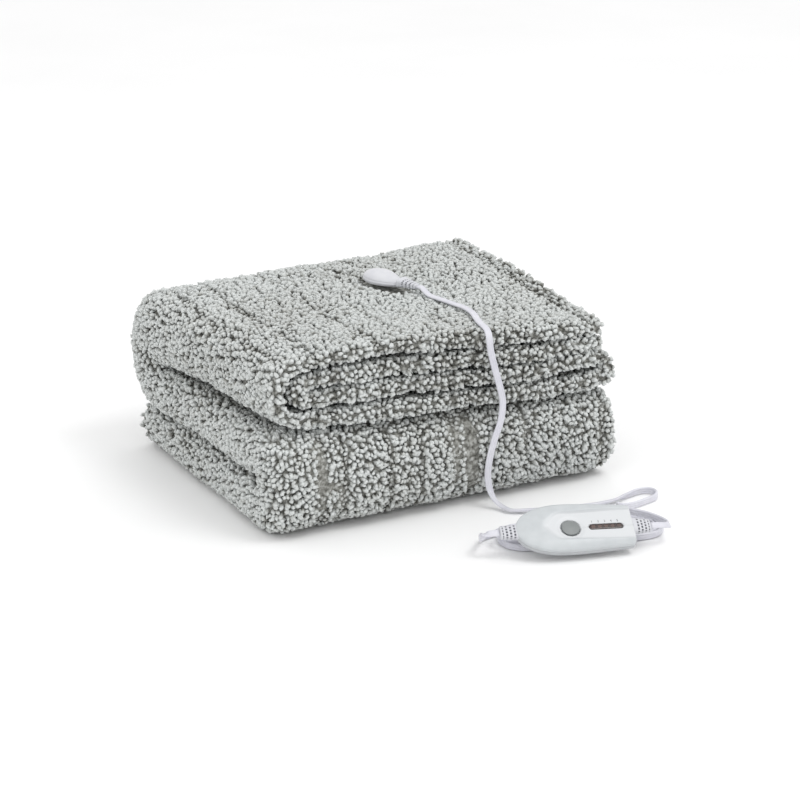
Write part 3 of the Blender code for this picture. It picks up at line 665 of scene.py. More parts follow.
def connector_skin():
    """Egg rings that shrink by r while the height rises as sqrt(1 - r^2.4); dots are a product of sines."""
    wall_size = np.linspace(0.93, 1.0, WALL_RINGS + 1)[:-1]
    size = np.concatenate([wall_size, np.cos(np.linspace(0, math.pi / 2 * 0.985, DOME_RINGS))])
    dome = np.clip(1.0 - np.abs(size) ** 2.4, 0.0, 1.0) ** 0.5
    height = EGG_WALL + EGG_RISE * dome
    height[:WALL_RINGS] = np.linspace(0.0, EGG_WALL, WALL_RINGS + 1)[:-1]
    angle = round_angles(EGG_SIDES)
    taper = 1.0 - 0.22 * np.cos(angle) - 0.10 * np.cos(angle) ** 2
    x = EGG_HALF_LONG * size[:, None] * np.cos(angle)
    y = EGG_HALF_WIDE * size[:, None] * np.sin(angle) * taper
    crown = height[:, None] * (1.0 - 0.16 * (x / EGG_HALF_LONG))
    seam = SEAM_DEEP * bell((height[:, None] - SEAM_LEVEL) / 0.0005)
    dots = np.sin(x * DOT_PITCH) * np.sin(y * DOT_PITCH)
    patch = soft_step((x - 0.002) / 0.004) * soft_step((0.019 - x) / 0.004)
    patch = patch * soft_step((0.0085 - np.abs(y)) / 0.002)
    crown = crown + DOT_RISE * np.clip(dots, 0, 1) * patch * (height[:, None] > 0.007)
    shrink = 1.0 - seam / EGG_HALF_WIDE
    return np.stack([x * shrink, y * shrink, crown], axis=-1)


connector_points = connector_skin()
connector_shell = add_skin(
    "connector_shell", connector_points, relief_vinyl, at=CONNECTOR
)
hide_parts("connector")
print("connector is", np.ptp(connector_points[..., 0]).round(4), "m long")

# %% [markdown]
# ## The hand controller
# The controller is a long shell with a rounded nose, full sides and a flat end. Its face has a sunken
# teardrop that starts as a smooth scoop before the button, painted brighter as a painted highlight, and runs
# out to the flat end. The face is made as rings of the outline that shrink towards the flat end's middle,
# and its height is one formula of the plan.

# %% Outline and face of the controller
NOSE, WIDEST, END = -0.068, -0.020, 0.044
HALF, HALF_END, CORNER = 0.026, 0.022, 0.0035
RIM, CROWN, FLOOR = 0.0095, 0.0152, 0.0126
BUTTON_AT = np.array([-0.0165, 0.0235])
WINDOW_AT = np.array([0.0180, 0.0240])
WINDOW_LONG, WINDOW_WIDE = 0.0336, 0.0062
BAR_LONG, BAR_WIDE = 0.0330, 0.0056


def outline(grow=0.0):
    """A nose |x|^2.3 + |y|^2 = 1, a side narrowing as s^1.5, a round corner, and the mirror of them all."""
    turn = np.linspace(0.0, math.pi / 2, 62)
    nose_x = WIDEST - (WIDEST - NOSE) * np.cos(turn) ** (2 / 2.3)
    side = np.linspace(0.0, 1.0, 44)[1:]
    side_x = WIDEST + (END - CORNER - WIDEST) * side
    side_y = 1.0 - (HALF - HALF_END) / HALF * side**1.5
    corner = np.linspace(0.0, math.pi / 2, 8)[1:]
    corner_x = END - CORNER + CORNER * np.sin(corner)
    corner_y = side_y[-1] - CORNER / HALF * (1.0 - np.cos(corner))
    across = np.linspace(corner_y[-1], 0.0, 12)[1:-1]
    x = np.concatenate([nose_x, side_x, corner_x, np.full(10, END)])
    y = np.concatenate([np.sin(turn), side_y, corner_y, across]) * HALF
    x = np.concatenate([x, [END], x[:0:-1]])
    y = np.concatenate([y, [0.0], -y[:0:-1]])
    run_x = np.roll(x, -1) - np.roll(x, 1)
    run_y = np.roll(y, -1) - np.roll(y, 1)
    length = np.hypot(run_x, run_y) + 1e-12
    return x - grow * run_y / length, y + grow * run_x / length


def scoop(x, y):
    """How far inside the teardrop a point is, from 0 on its rim; it opens towards the flat end."""
    half = 0.0165 * np.clip(1.0 - np.clip((-0.020 - x) / 0.0245, 0, 1) ** 2.2, 0, 1) ** 0.5
    half = half + 0.0015 * soft_step((x + 0.02) / 0.05)
    return half - np.abs(y), x + 0.0445


def face_height(x, y, size):
    """A dome that falls as sqrt(1 - size^2.6), cut down to the panel by a soft bank, wide at the scoop."""
    dome = RIM + (CROWN - RIM) * np.clip(1.0 - size**2.6, 0, 1) ** 0.5
    inside, from_nose = scoop(x, y)
    bank = 0.0035 + 0.0105 * soft_step((-0.026 - x) / 0.016)
    cut = soft_step(inside / bank) * soft_step(from_nose / 0.004)
    panel = FLOOR - 0.0006 * soft_step((x + 0.03) / 0.03)
    return dome + np.minimum(panel - dome, 0.0) * cut, cut


def sunken(x, y, at, half_x, half_y, depth, soft):
    """A pocket of oval plan, u^2 + v^2 < 1 in its own half sizes, with a soft wall."""
    reach = (np.abs((x - at[0]) / half_x) ** 2.0 + np.abs((y - at[1]) / half_y) ** 2.0) ** 0.5
    return depth * soft_step((1.0 - reach) * half_y / soft + 0.5)


def slot_reach(x, y, at, length, width):
    """Distance outside a straight slot with round ends, negative inside."""
    along = np.clip(x - at[0], -(length - width) / 2, (length - width) / 2)
    return np.hypot(x - at[0] - along, y - at[1]) - width / 2


# %% [markdown]
# The cover's skirt drops a little below the face's rim to the parting line. Button and light window sit in
# pockets of the face, and a hairline runs between them and on to the flat end.

# %% Cover of the controller
FACE_RINGS, SKIRT_RINGS = 150, 8
SKIRT_FOOT = 0.0068
HAIRLINE_AT, HAIRLINE_DEEP = 0.0239, 0.00035
edge_x, edge_y = outline()
face_share = np.cos(np.linspace(0.0, math.pi / 2, FACE_RINGS)) * 0.992 + 0.004
share = np.concatenate([np.full(SKIRT_RINGS, 1.0), face_share])
skirt = np.linspace(SKIRT_FOOT, RIM, SKIRT_RINGS)
cover_x = END + (edge_x[None, :] - END) * share[:, None]
cover_y = edge_y[None, :] * share[:, None]
cover_z, panel_highlight_share = face_height(cover_x, cover_y, share[:, None] * np.ones_like(cover_x))
cover_z[:SKIRT_RINGS] = skirt[:, None]
button_well = dict(half_x=0.0094, half_y=0.0088, depth=0.0030, soft=0.0004)
button_dish = dict(half_x=0.0125, half_y=0.0118, depth=0.0004, soft=0.0030)
button_pocket = sunken(cover_x, cover_y + HALF, BUTTON_AT, **button_well)
button_pocket += sunken(cover_x, cover_y + HALF, BUTTON_AT, **button_dish)
window_gap = slot_reach(cover_x, cover_y + HALF, WINDOW_AT, WINDOW_LONG, WINDOW_WIDE)
window_dish = 0.0014 * soft_step(0.5 - window_gap / 0.0005)
line_run = soft_step((cover_x - BUTTON_AT[0] - 0.010) / 0.001)
hairline = HAIRLINE_DEEP * bell((cover_y + HALF - HAIRLINE_AT) / 0.00025)
hairline = hairline * line_run * (window_gap > 0.0006)
inner = (np.arange(len(share)) >= SKIRT_RINGS)[:, None]
cover_z -= (button_pocket + window_dish + hairline) * inner
cover_local = np.stack([cover_x, cover_y + HALF, cover_z], axis=-1)
controller_face = add_skin("controller_face", cover_local, face_shell_with_painted_highlight, at=CONTROLLER)
# The panel share says where the painted highlight goes on the sunken panel.
give_values(controller_face, "panel", panel_highlight_share * inner)
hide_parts("controller_cover")
print("controller face", cover_local.shape, "points")

# %% [markdown]
# The lower half is a tray with a softly rounded bottom edge: rings of the same outline, grown or drawn in
# with height. The button is an oval cap and the light bar a slab with round ends, and each sits in its own
# pocket of the face.

# %% Lower half, button and light bar
def outline_rings(rows):
    """One outline ring for each (height, grow) row."""
    rings = [np.stack([*outline(grow), np.full(len(edge_x), level)], axis=-1) for level, grow in rows]
    rings = np.array(rings)
    rings[..., 1] += HALF
    return rings


TRAY_ROUND = 0.0032
TRAY_TOP, TRAY_LIP = (0.0060, 0.0), (0.0064, -0.0004)
quarter_turn = np.linspace(0.0, math.pi / 2, 10)
tray_rows = [
    (TRAY_ROUND - TRAY_ROUND * math.cos(t), -TRAY_ROUND + TRAY_ROUND * math.sin(t)) for t in quarter_turn
]
tray_rows += [TRAY_TOP, TRAY_LIP]
controller_tray = add_skin(
    "controller_tray", outline_rings(tray_rows), base_shell, at=CONTROLLER
)
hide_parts("controller_base")


def pill(length, width, low, high, edge, at, count=48):
    """A slab with round ends: rings go up its wall, over a rounded edge, and in towards the middle."""
    angle = round_angles(count)
    rise = np.linspace(0.0, math.pi / 2, 6)
    drawn_in = np.concatenate([[0.0], edge * (1 - np.cos(rise)), [edge + 0.4 * (width / 2 - edge)]])
    level = np.concatenate([[low], high - edge + edge * np.sin(rise), [high]])
    radius = width / 2 - drawn_in[:, None]
    x = np.sign(np.cos(angle)) * (length - width) / 2 + radius * np.cos(angle)
    y = radius * np.sin(angle)
    return np.stack([at[0] + x, at[1] + y, np.repeat(level[:, None], count, axis=1)], axis=-1)


CAP_WALL, CAP_FLAT, CAP_EDGE = 0.0084, 0.0077, 0.0008
CAP_SWELL, CAP_SKIRT, CAP_OVAL = 0.0004, 0.0015, 0.93
CAP_FACE_RINGS = 12


def button_skin(count=96):
    """An oval cap: its wall, a quarter round edge, then a face that swells by 1 - r^2 towards its middle."""
    angle = round_angles(count)
    rise = np.linspace(0.0, math.pi / 2, 7)
    top = FLOOR + CAP_SWELL
    radius = np.concatenate([
        [CAP_WALL], CAP_FLAT + CAP_EDGE * np.cos(rise), CAP_FLAT * np.linspace(0.9, 0.03, CAP_FACE_RINGS),
    ])
    wall_level = np.concatenate([[top - CAP_SKIRT], top - CAP_EDGE + CAP_EDGE * np.sin(rise)])
    face_level = top + CAP_SWELL * (1 - (radius[-CAP_FACE_RINGS:] / CAP_FLAT) ** 2)
    level = np.concatenate([wall_level, face_level])
    x = BUTTON_AT[0] + radius[:, None] * np.cos(angle)
    y = BUTTON_AT[1] + CAP_OVAL * radius[:, None] * np.sin(angle)
    return np.stack([x, y, np.repeat(level[:, None], count, axis=1)], axis=-1)


press_button = add_skin(
    "press_button", button_skin(), button_grey, at=CONTROLLER, body="push_button"
)
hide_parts("button")

window = pill(BAR_LONG, BAR_WIDE, FLOOR - 0.0019, FLOOR - 0.0007, 0.0004, WINDOW_AT)
light_bar = add_skin("light_bar", window, smoked_window, at=CONTROLLER)
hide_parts("light_window")
print("button, light bar and tray made")

# %% [markdown]
# Five small dull red-brown lamps stand behind the window, one for each heat step, with a small printed
# number beside each. A thin bright bead edges the flat end.

# %% Lamps, marks and end bead
def box_grid(length, width, low, high, at):
    """A small slab as two rings of four corners."""
    x = np.array([-0.5, 0.5, 0.5, -0.5]) * length + at[0]
    y = np.array([-0.5, -0.5, 0.5, 0.5]) * width + at[1]
    return np.stack([np.stack([x, y, np.full(4, level)], axis=-1) for level in (low, high)])


HEAT_STEPS = 5
LAMP_LONG, LAMP_WIDE = 0.0034, 0.0030
DIGIT_SIZE, DIGIT_THICK = 0.0034, 0.00005
DIGIT_FROM_LAMP = (-0.0006, 0.0046)
lamp_x = WINDOW_AT[0] + np.linspace(-0.0124, 0.0124, HEAT_STEPS)
for step, x in enumerate(lamp_x):
    lamp = box_grid(LAMP_LONG, LAMP_WIDE, FLOOR - 0.0012, FLOOR - 0.00062, (x, WINDOW_AT[1]))
    lamp_piece = add_skin(f"heat_lamp_{step + 1}", lamp, lamp_red, at=CONTROLLER)
    lamp_piece.data.shade_flat()

for step, x in enumerate(lamp_x):
    digit = bpy.data.curves.new(f"heat_mark_{step + 1}", "FONT")
    digit.body = str(step + 1)
    digit.size = DIGIT_SIZE
    digit.extrude = DIGIT_THICK
    digit.align_x = "CENTER"
    digit_object = add_object(f"heat_digit_{step + 1}", digit)
    bpy.context.view_layer.update()
    seen = digit_object.evaluated_get(bpy.context.evaluated_depsgraph_get())
    flat = bpy.data.meshes.new_from_object(seen)
    digit_at = (float(x) + DIGIT_FROM_LAMP[0], WINDOW_AT[1] + DIGIT_FROM_LAMP[1], FLOOR - 0.00058)
    flat.transform(CONTROLLER @ Matrix.Translation(digit_at))
    flat.materials.clear()
    flat.materials.append(print_grey)
    bpy.data.objects.remove(digit_object)
    own_piece(f"heat_mark_{step + 1}", flat, "stack")

BEAD_RADIUS, BEAD_RINGS, BEAD_SIDES = 0.0004, 30, 10
bead_y = np.linspace(-HALF_END + 0.004, HALF_END - 0.004, BEAD_RINGS) + HALF
bead_angle = round_angles(BEAD_SIDES)
bead = np.stack([
    np.repeat((END + BEAD_RADIUS * np.cos(bead_angle))[None], BEAD_RINGS, axis=0),
    np.repeat(bead_y[:, None], BEAD_SIDES, axis=1),
    np.repeat((RIM + 0.0002 + BEAD_RADIUS * np.sin(bead_angle))[None], BEAD_RINGS, axis=0),
], axis=-1)
add_skin("end_bead", bead, white_shell, at=CONTROLLER)
print("controller has", len(lamp_x), "lamps")

# %% [markdown]
# ## The folded cloth
# The blanket is folded across its width into a strip of four layers, and the strip is folded back and forth
# into three packets. The cloth's middle line is worked out across the strip, moved half a thickness to
# either side, and carried along the back-and-forth path. The backing is thinner than the CAD cloth, because
# the pile fills the rest.

# %% Fold sizes, as the CAD has them
STACK_WIDTH, STACK_DEPTH = 0.384, 0.328
LOWER_CLOTH, LOWER_GAP = 0.0108, 0.0018
UPPER_CLOTH, UPPER_GAP = 0.0180, 0.0022
PACKET_GAP = 0.0024
FRONT_SETBACK, LEFT_SETBACK, BACK_SETBACK = 0.004, 0.010, 0.006
UPPER_SHIFT = 0.007
TURN_SQUASH, TURN_SQUARE, HINGE_SQUARE = 0.80, 2.5, 3.0
PILE = 0.0046
HEM_INSET = 0.0045
OPENINGS = (
    dict(gap=1, at=-0.085, half=0.060, open=0.0030),
    dict(gap=3, at=-0.070, half=0.070, open=0.0025),
    dict(gap=3, at=0.165, half=0.045, open=0.0080),
)
PUSHES = (
    dict(at=(-0.160, -0.170, 0.17), half=0.060, move=(0.000, 0.000, -0.005)),
    dict(at=(0.200, -0.160, 0.18), half=0.120, move=(-0.009, 0.000, -0.014)),
    dict(at=(0.180, 0.170, 0.17), half=0.100, move=(-0.002, 0.005, 0.005)),
    dict(at=(-0.200, 0.140, 0.12), half=0.080, move=(-0.013, 0.000, -0.003)),
    dict(at=(0.190, -0.170, 0.05), half=0.080, move=(0.006, 0.000, 0.000)),
    dict(at=(0.200, -0.160, 0.10), half=0.050, move=(0.000, 0.000, 0.006)),
    dict(at=(-0.185, -0.165, 0.105), half=0.055, move=(0.000, 0.000, 0.008)),
    dict(at=(0.070, -0.060, 0.18), half=0.070, move=(0.000, 0.000, -0.003)),
    dict(at=(-0.030, -0.180, 0.05), half=0.090, move=(0.000, -0.004, 0.000)),
)


def rounded_turn(angle, square):
    """A half turn of radius 1 on |x|^k + |y|^k = 1, circular at k = 2 and squarer above it."""
    across, up = np.cos(angle), np.sin(angle)
    reach = (np.abs(across) ** square + np.abs(up) ** square) ** (-1.0 / square)
    return across * reach, up * reach


# %% Across the strip: four layers
def strip_line(pitch, cloth, left, right):
    """The four layers' middle line as x and level: top, outer turn, bottom, right turn, third, tongue."""
    across, up = rounded_turn(np.linspace(math.pi / 2, -math.pi / 2, 26), TURN_SQUARE)
    small = np.linspace(-math.pi / 2, math.pi / 2, 14)
    run = np.linspace(0.0, 1.0, 42)
    outer = left + cloth / 2 + 1.5 * pitch * TURN_SQUASH
    tongue = left + 1.5 * cloth + (pitch - cloth) + 0.5 * pitch
    closed = right - cloth / 2 - 0.5 * pitch
    hem_top = right - 0.013 - HEM_INSET
    hem_second = right - 0.012 - HEM_INSET
    one = np.ones_like(pitch)
    x = np.concatenate([
        hem_top + (outer - hem_top) * run[:-1],
        outer - 1.5 * pitch * TURN_SQUASH * across,
        outer + (closed - outer) * run[1:-1],
        closed + 0.5 * pitch * np.cos(small),
        closed + (tongue - closed) * run[1:-1],
        tongue - 0.5 * pitch * np.cos(small),
        tongue + (hem_second - tongue) * run[1:],
    ], axis=1)
    level = np.concatenate([
        one * 3.0 * np.ones(41),
        one * (1.5 + 1.5 * up),
        one * np.zeros(40),
        one * (0.5 + 0.5 * np.sin(small)),
        one * np.ones(40),
        one * (1.5 + 0.5 * np.sin(small)),
        one * 2.0 * np.ones(41),
    ], axis=1)
    return x, level


def strip_sides(pitch, cloth, left, right):
    """The backing's two sides, half its thickness either side of the middle line."""
    x, level = strip_line(pitch, cloth, left, right)
    height = cloth / 2 + level * pitch
    along_x = np.gradient(x, axis=1)
    along_h = np.gradient(height, axis=1)
    half = (cloth / 2 - PILE) / np.hypot(along_x, along_h)
    side_x, side_h = -along_h * half, along_x * half
    return (x + side_x, height + side_h), (x - side_x, height - side_h)


# %% Along the strip: three packets
def fold_strip(run, place, pitch, cloth, x, height):
    """Top packet, back hinge, middle packet, front hinge, bottom packet; hinges are rounded half turns."""
    thick = cloth + 3.0 * pitch
    lower = LOWER_CLOTH + 3.0 * (LOWER_CLOTH + LOWER_GAP)
    upper = UPPER_CLOTH + 3.0 * (UPPER_CLOTH + UPPER_GAP)
    low_hinge = lower + PACKET_GAP / 2
    high_hinge = low_hinge + lower + PACKET_GAP
    front = -STACK_DEPTH / 2 + lower + PACKET_GAP / 2
    back = STACK_DEPTH / 2 - (lower + upper) / 2 - PACKET_GAP / 2
    across, up = rounded_turn(math.pi / 2 - math.pi * place, HINGE_SQUARE)
    leftness = soft_step((0.05 - x) / 0.2)
    front_end = -STACK_DEPTH / 2 + FRONT_SETBACK + LEFT_SETBACK * leftness + HEM_INSET
    back_end = STACK_DEPTH / 2 - BACK_SETBACK - HEM_INSET
    first = PACKET_GAP / 2 + height
    second = PACKET_GAP / 2 + thick - height
    runs = [run == 0, run == 1, run == 2, run == 3]
    y = np.select(runs, [
        front_end + (back - front_end) * place,
        back + first * across,
        back + (front - back) * place,
        front - second * across,
    ], front + (back_end - front) * place)
    z = np.select(runs, [
        high_hinge + first + 0.0 * place,
        high_hinge + first * up,
        high_hinge - first + 0.0 * place,
        low_hinge + second * up,
    ], low_hinge - second + 0.0 * place)
    return np.stack([x + 0.0 * place, y, z], axis=-1)


def open_layers(run, place, pitch, x, height):
    """Some gaps stand open at the front: a soft push up for all that lies above the gap."""
    total = 4.0 * pitch
    moved = height
    fade = np.where(run == 0, 1.0 - soft_step(place / 0.5), 0.0)
    for row in OPENINGS:
        level = (4 - row["gap"]) * pitch - UPPER_GAP / 2
        near = bell((x - row["at"]) / row["half"], 4)
        above = soft_step((height - level + UPPER_GAP / 2) / UPPER_GAP)
        moved = moved + row["open"] * near * fade * above * (total - height) / (total - level)
    return moved


def settle(points):
    """Each push moves the cloth near it by a bell curve; the underside stays flat."""
    lift_off = soft_step(points[..., 2:] / 0.030)
    settled = points.copy()
    for row in PUSHES:
        near = np.exp(-((points - row["at"]) ** 2).sum(axis=-1, keepdims=True) / row["half"] ** 2)
        settled += near * lift_off * np.array(row["move"])
    return settled


ROWS_A_RUN = (52, 30, 8, 30, 28)
LAST_RUN = len(ROWS_A_RUN) - 1
run_table = np.vstack([
    np.stack([np.full(count, run), np.arange(count) / (count - (run == LAST_RUN))], axis=1)
    for run, count in enumerate(ROWS_A_RUN)
])
run, place = run_table[:, :1], run_table[:, 1:]
upper_share = np.where(run == 0, 1.0, np.where(run == 1, 1.0 - soft_step(place), 0.0))
cloth = LOWER_CLOTH + (UPPER_CLOTH - LOWER_CLOTH) * upper_share
pitch = cloth + LOWER_GAP + (UPPER_GAP - LOWER_GAP) * upper_share
shift = UPPER_SHIFT * np.where(run == 0, 1.0 - soft_step(place), 0.0)
sides = []
for x, height in strip_sides(pitch, cloth, -STACK_WIDTH / 2 + shift, STACK_WIDTH / 2 + shift):
    opened = open_layers(run, place, pitch, x, height)
    sides.append(settle(fold_strip(run, place, pitch, cloth, x, opened)))
backing = np.stack(sides)
print("backing grid", backing.shape)

# %% [markdown]
# The cloth is closed into one skin. Then it gets its life: grooves where the pile parts, a raised seam
# along the hem, a slight crumple behind the connector and a soft undulation everywhere. Each is a bell or a
# wave added along the cloth's own outward direction.

# %% Backing skin, grooves and waves
def sheet_faces(rows, columns):
    """Quads of both sides of a closed sheet, one side reversed, and a rim of quads round the edge."""
    other = rows * columns
    corner = (np.arange(rows - 1)[:, None] * columns + np.arange(columns - 1)[None, :]).ravel()
    top = np.stack([corner, corner + 1, corner + columns + 1, corner + columns], axis=1)
    rim = np.concatenate([
        np.arange(rows - 1) * columns,
        (rows - 1) * columns + np.arange(columns - 1),
        np.arange(rows - 1, 0, -1) * columns + columns - 1,
        np.arange(columns - 1, 0, -1),
    ])
    after = np.roll(rim, -1)
    sides = np.stack([rim, after, other + after, other + rim], axis=1)
    return np.vstack([top, other + top[:, ::-1], sides])


def read_rows(layer, what):
    """Three numbers for each row of a mesh layer, as one (n, 3) array."""
    values = np.empty(len(layer) * 3)
    layer.foreach_get(what, values)
    return values.reshape(-1, 3)


# Each groove is where it runs in x, its half width and its depth.
GROOVES_FRONT = (
    (-0.137, 0.0040, 0.0052), (-0.116, 0.0040, 0.0052), (-0.067, 0.0042, 0.0052), (-0.0485, 0.0034, 0.0044),
    (-0.0340, 0.0034, 0.0044), (0.005, 0.0038, 0.0050), (0.0245, 0.0052, 0.0056), (0.086, 0.0034, 0.0030),
    (0.128, 0.0034, 0.0030), (0.178, 0.0038, 0.0050),
)
GROOVES_TOP = (
    (-0.171, 0.0036, 0.0024), (-0.137, 0.0036, 0.0030), (-0.100, 0.0036, 0.0026), (-0.071, 0.0036, 0.0024),
    (-0.035, 0.0036, 0.0026), (0.075, 0.0036, 0.0018), (0.120, 0.0036, 0.0018),
)
HEM_SEAM_X, HEM_SEAM_HALF, HEM_SEAM_LIFT = 0.174, 0.0052, 0.0030
UNDERSIDE, BACKING_CLEAR = 0.006, 0.0006


def cloth_relief(points, normals):
    """Depth of grooves and height of seam, crumple and waves at each point, in metres along the normal."""
    x, y, z = (points - STACK_AT).T
    front = soft_step((-0.110 - y) / 0.03) * soft_step((-normals[:, 1] - 0.1) / 0.5)
    top = soft_step((z - 0.150) / 0.015) * soft_step((normals[:, 2] - 0.4) / 0.4)
    wander = 0.0016 * np.sin(38 * z + 11 * x) + 0.0008 * np.sin(90 * z)
    bend = 0.0022 * np.sin(21 * y + 9 * x)
    lift = np.zeros(len(points))
    for at, half, depth in GROOVES_FRONT:
        lift -= depth * front * bell((x - at - wander) / half)
    for at, half, depth in GROOVES_TOP:
        lift -= depth * top * bell((x - at - bend) / half)
    seam = bell((x - HEM_SEAM_X) / HEM_SEAM_HALF, 4)
    beside = bell((x - HEM_SEAM_X + 0.0105) / 0.0040)
    lift += top * (HEM_SEAM_LIFT * seam - 0.0044 * beside)
    crumple = np.exp(-(((x - 0.012) / 0.020) ** 2 + ((y - 0.080) / 0.028) ** 2))
    lift += top * crumple * 0.0024 * np.sin(260 * (x + 0.4 * y))
    trough = bell((x - 0.026 - 0.057 * (y + 0.074)) / 0.006) * soft_step((-0.060 - y) / 0.02)
    lift -= 0.0016 * top * trough
    slow = 0.0011 * np.sin(31 * x + 17 * y) * np.sin(27 * y - 23 * z + 1.1)
    lift += slow + 0.0006 * np.sin(83 * x + 61 * z)
    return lift


_, backing_rows, backing_columns, _ = backing.shape
backing_faces = sheet_faces(backing_rows, backing_columns)


def backing_painted_shade_finish():
    """Knitted backing, painted dark as the shade between the locks, like the pile's painted roots: noise for
    its tone, and a fine wave for its gloss.
    """
    material, nodes, links, shader, place = start_material("knit_backing_painted_shade")
    weave = nodes.new("ShaderNodeTexWave")
    weave.inputs["Scale"].default_value = 260.0
    weave.inputs["Distortion"].default_value = 2.0
    links.new(place, weave.inputs["Vector"])
    clump = add_noise(nodes, links, place, 260.0, 4.0)
    # The dark tones are painted shade between the locks; the noise spreads them at random.
    tones = (0.32, (0.060, 0.059, 0.050)), (0.52, (0.24, 0.24, 0.22)), (0.68, (0.46, 0.465, 0.445))
    links.new(add_ramp(nodes, links, clump, tones), shader.inputs["Base Color"])
    links.new(add_range(nodes, links, weave.outputs["Fac"], 0.86, 0.97), shader.inputs["Roughness"])
    add_bump(nodes, links, clump, shader, 0.0012, 0.8)
    return material


folded_cloth = add_piece(
    "folded_cloth", backing.reshape(-1, 3) + STACK_AT, backing_faces.tolist(), backing_painted_shade_finish(),
    "stack",
)
outward(folded_cloth)
cloth_points = read_rows(folded_cloth.data.vertices, "co")
cloth_normals = read_rows(folded_cloth.data.vertex_normals, "vector")
cloth_points += cloth_normals * cloth_relief(cloth_points, cloth_normals)[:, None]
let_down = (PILE - 0.0007) * (cloth_points[:, 2] < UNDERSIDE)
cloth_points[:, 2] = np.maximum(cloth_points[:, 2] - let_down, BACKING_CLEAR)
folded_cloth.data.vertices.foreach_set("co", cloth_points.ravel())
folded_cloth.data.update()
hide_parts("blanket")

# %% [markdown]
# ## The long pile
# The pile is thousands of small curly locks. They stand only where the cloth can be seen, so rays are sent
# from each patch of cloth to find out whether any of them gets away. Places are scattered evenly by
# throwing away each one that falls too close to another.

# %% Where the cloth shows
LOCK_SPACING = 0.0033
OPEN_ENOUGH = 0.10
RIM_OPEN = 0.30
ESCAPE = 0.60
RAY_START = 0.0035
RAYS_A_PATCH = 26
GRAZING, FLOOR_NEAR = 0.02, 0.08
RESTS_BELOW = 0.004
SEED = 11


def patch_open(tree, centre, normal, rays):
    """The share of the rays from a patch that leave the stack without meeting cloth or the near floor."""
    start = centre + normal * RAY_START
    away = sent = 0
    for ray in rays:
        if ray.dot(normal) < GRAZING:
            continue
        sent += 1
        if ray.z < -GRAZING and start.z < -ray.z * FLOOR_NEAR:
            continue
        away += tree.ray_cast(start, ray, ESCAPE)[0] is None
    return away / max(sent, 1)


def even_rays(count):
    """Directions spread over the sphere by the golden angle."""
    step = (np.arange(count) + 0.5) / count
    turn = np.arange(count) * math.pi * (3 - math.sqrt(5))
    level = 1 - 2 * step
    around = np.sqrt(1 - level**2)
    return [Vector(row) for row in np.stack([around * np.cos(turn), around * np.sin(turn), level], axis=1)]


def showing_quads():
    """How open each quad is: one ray test for each 2 by 2 block of either side, and one for each rim quad."""
    tree = BVHTree.FromPolygons(cloth_points.tolist(), backing_faces.tolist())
    rays = even_rays(RAYS_A_PATCH)
    across = backing_columns - 1
    down = backing_rows - 1
    corners = cloth_points[backing_faces]
    centres = corners.mean(axis=1)
    facing = np.cross(corners[:, 2] - corners[:, 0], corners[:, 3] - corners[:, 1])
    facing /= np.linalg.norm(facing, axis=1, keepdims=True) + 1e-12
    side_way = np.einsum("ij,ij->i", facing, cloth_normals[backing_faces].mean(axis=1))
    facing *= np.sign(side_way)[:, None]
    openness = np.zeros(len(backing_faces))
    for side in range(2):
        for r in range(0, down, 2):
            for c in range(0, across, 2):
                first = side * down * across + r * across + c
                if centres[first, 2] < RESTS_BELOW:
                    continue
                share = patch_open(tree, Vector(centres[first]), Vector(facing[first]), rays)
                for dr in range(min(2, down - r)):
                    for dc in range(min(2, across - c)):
                        openness[first + dr * across + dc] = share
    for rim_face in range(2 * down * across, len(backing_faces)):
        share = patch_open(tree, Vector(centres[rim_face]), Vector(facing[rim_face]), rays)
        openness[rim_face] = max(share, RIM_OPEN)
    return openness, corners


quad_open, quad_corners = showing_quads()
shown = np.flatnonzero(quad_open > OPEN_ENOUGH)
print("showing quads", len(shown), "of", len(backing_faces))

# %% Scattered places for the locks
TRIES_A_LOCK = 7
FULLY_OPEN = 0.45


def scatter(corners, normals, seed):
    """Random points by area, thinned so that no two are closer than the spacing."""
    random = np.random.default_rng(seed)
    diagonals = corners[:, 2] - corners[:, 0], corners[:, 3] - corners[:, 1]
    area = 0.5 * np.linalg.norm(np.cross(*diagonals), axis=1)
    total = int(area.sum() / LOCK_SPACING**2 * TRIES_A_LOCK)
    chosen = random.choice(len(corners), size=total, p=area / area.sum())
    u, v = random.random((2, total, 1))
    weights = np.stack([(1 - u) * (1 - v), u * (1 - v), u * v, (1 - u) * v], axis=1)
    places = (corners[chosen] * weights).sum(axis=1)
    ways = unit((normals[chosen] * weights).sum(axis=1))
    cells = {}
    kept = []
    keys = np.floor(places / LOCK_SPACING).astype(int)
    near = [(a, b, c) for a in (-1, 0, 1) for b in (-1, 0, 1) for c in (-1, 0, 1)]
    limit = LOCK_SPACING**2
    listed = places.tolist()
    for index, (i, j, k) in enumerate(keys.tolist()):
        px, py, pz = listed[index]
        clear = True
        for a, b, c in near:
            other = cells.get((i + a, j + b, k + c))
            if other and any((px - q[0]) ** 2 + (py - q[1]) ** 2 + (pz - q[2]) ** 2 < limit for q in other):
                clear = False
                break
        if clear:
            cells.setdefault((i, j, k), []).append(listed[index])
            kept.append(index)
    return places[kept], ways[kept], chosen[kept]


lock_at, lock_way, lock_quad = scatter(quad_corners[shown], cloth_normals[backing_faces[shown]], SEED)
# How open a patch is also makes its locks darker, as painted shade in hollows.
lock_open = np.clip(quad_open[shown][lock_quad] / FULLY_OPEN, 0.0, 1.0)
print("places for locks", len(lock_at))

# %% [markdown]
# A lock is a small bent blob: a root point, two rings of five points and a tip. It swells from its root and
# curls over. Locks next to each other lean nearly the same way, because the way they lean is a smooth wave
# of their place, with a little chance added. The lead and the connector press the locks below them flat.

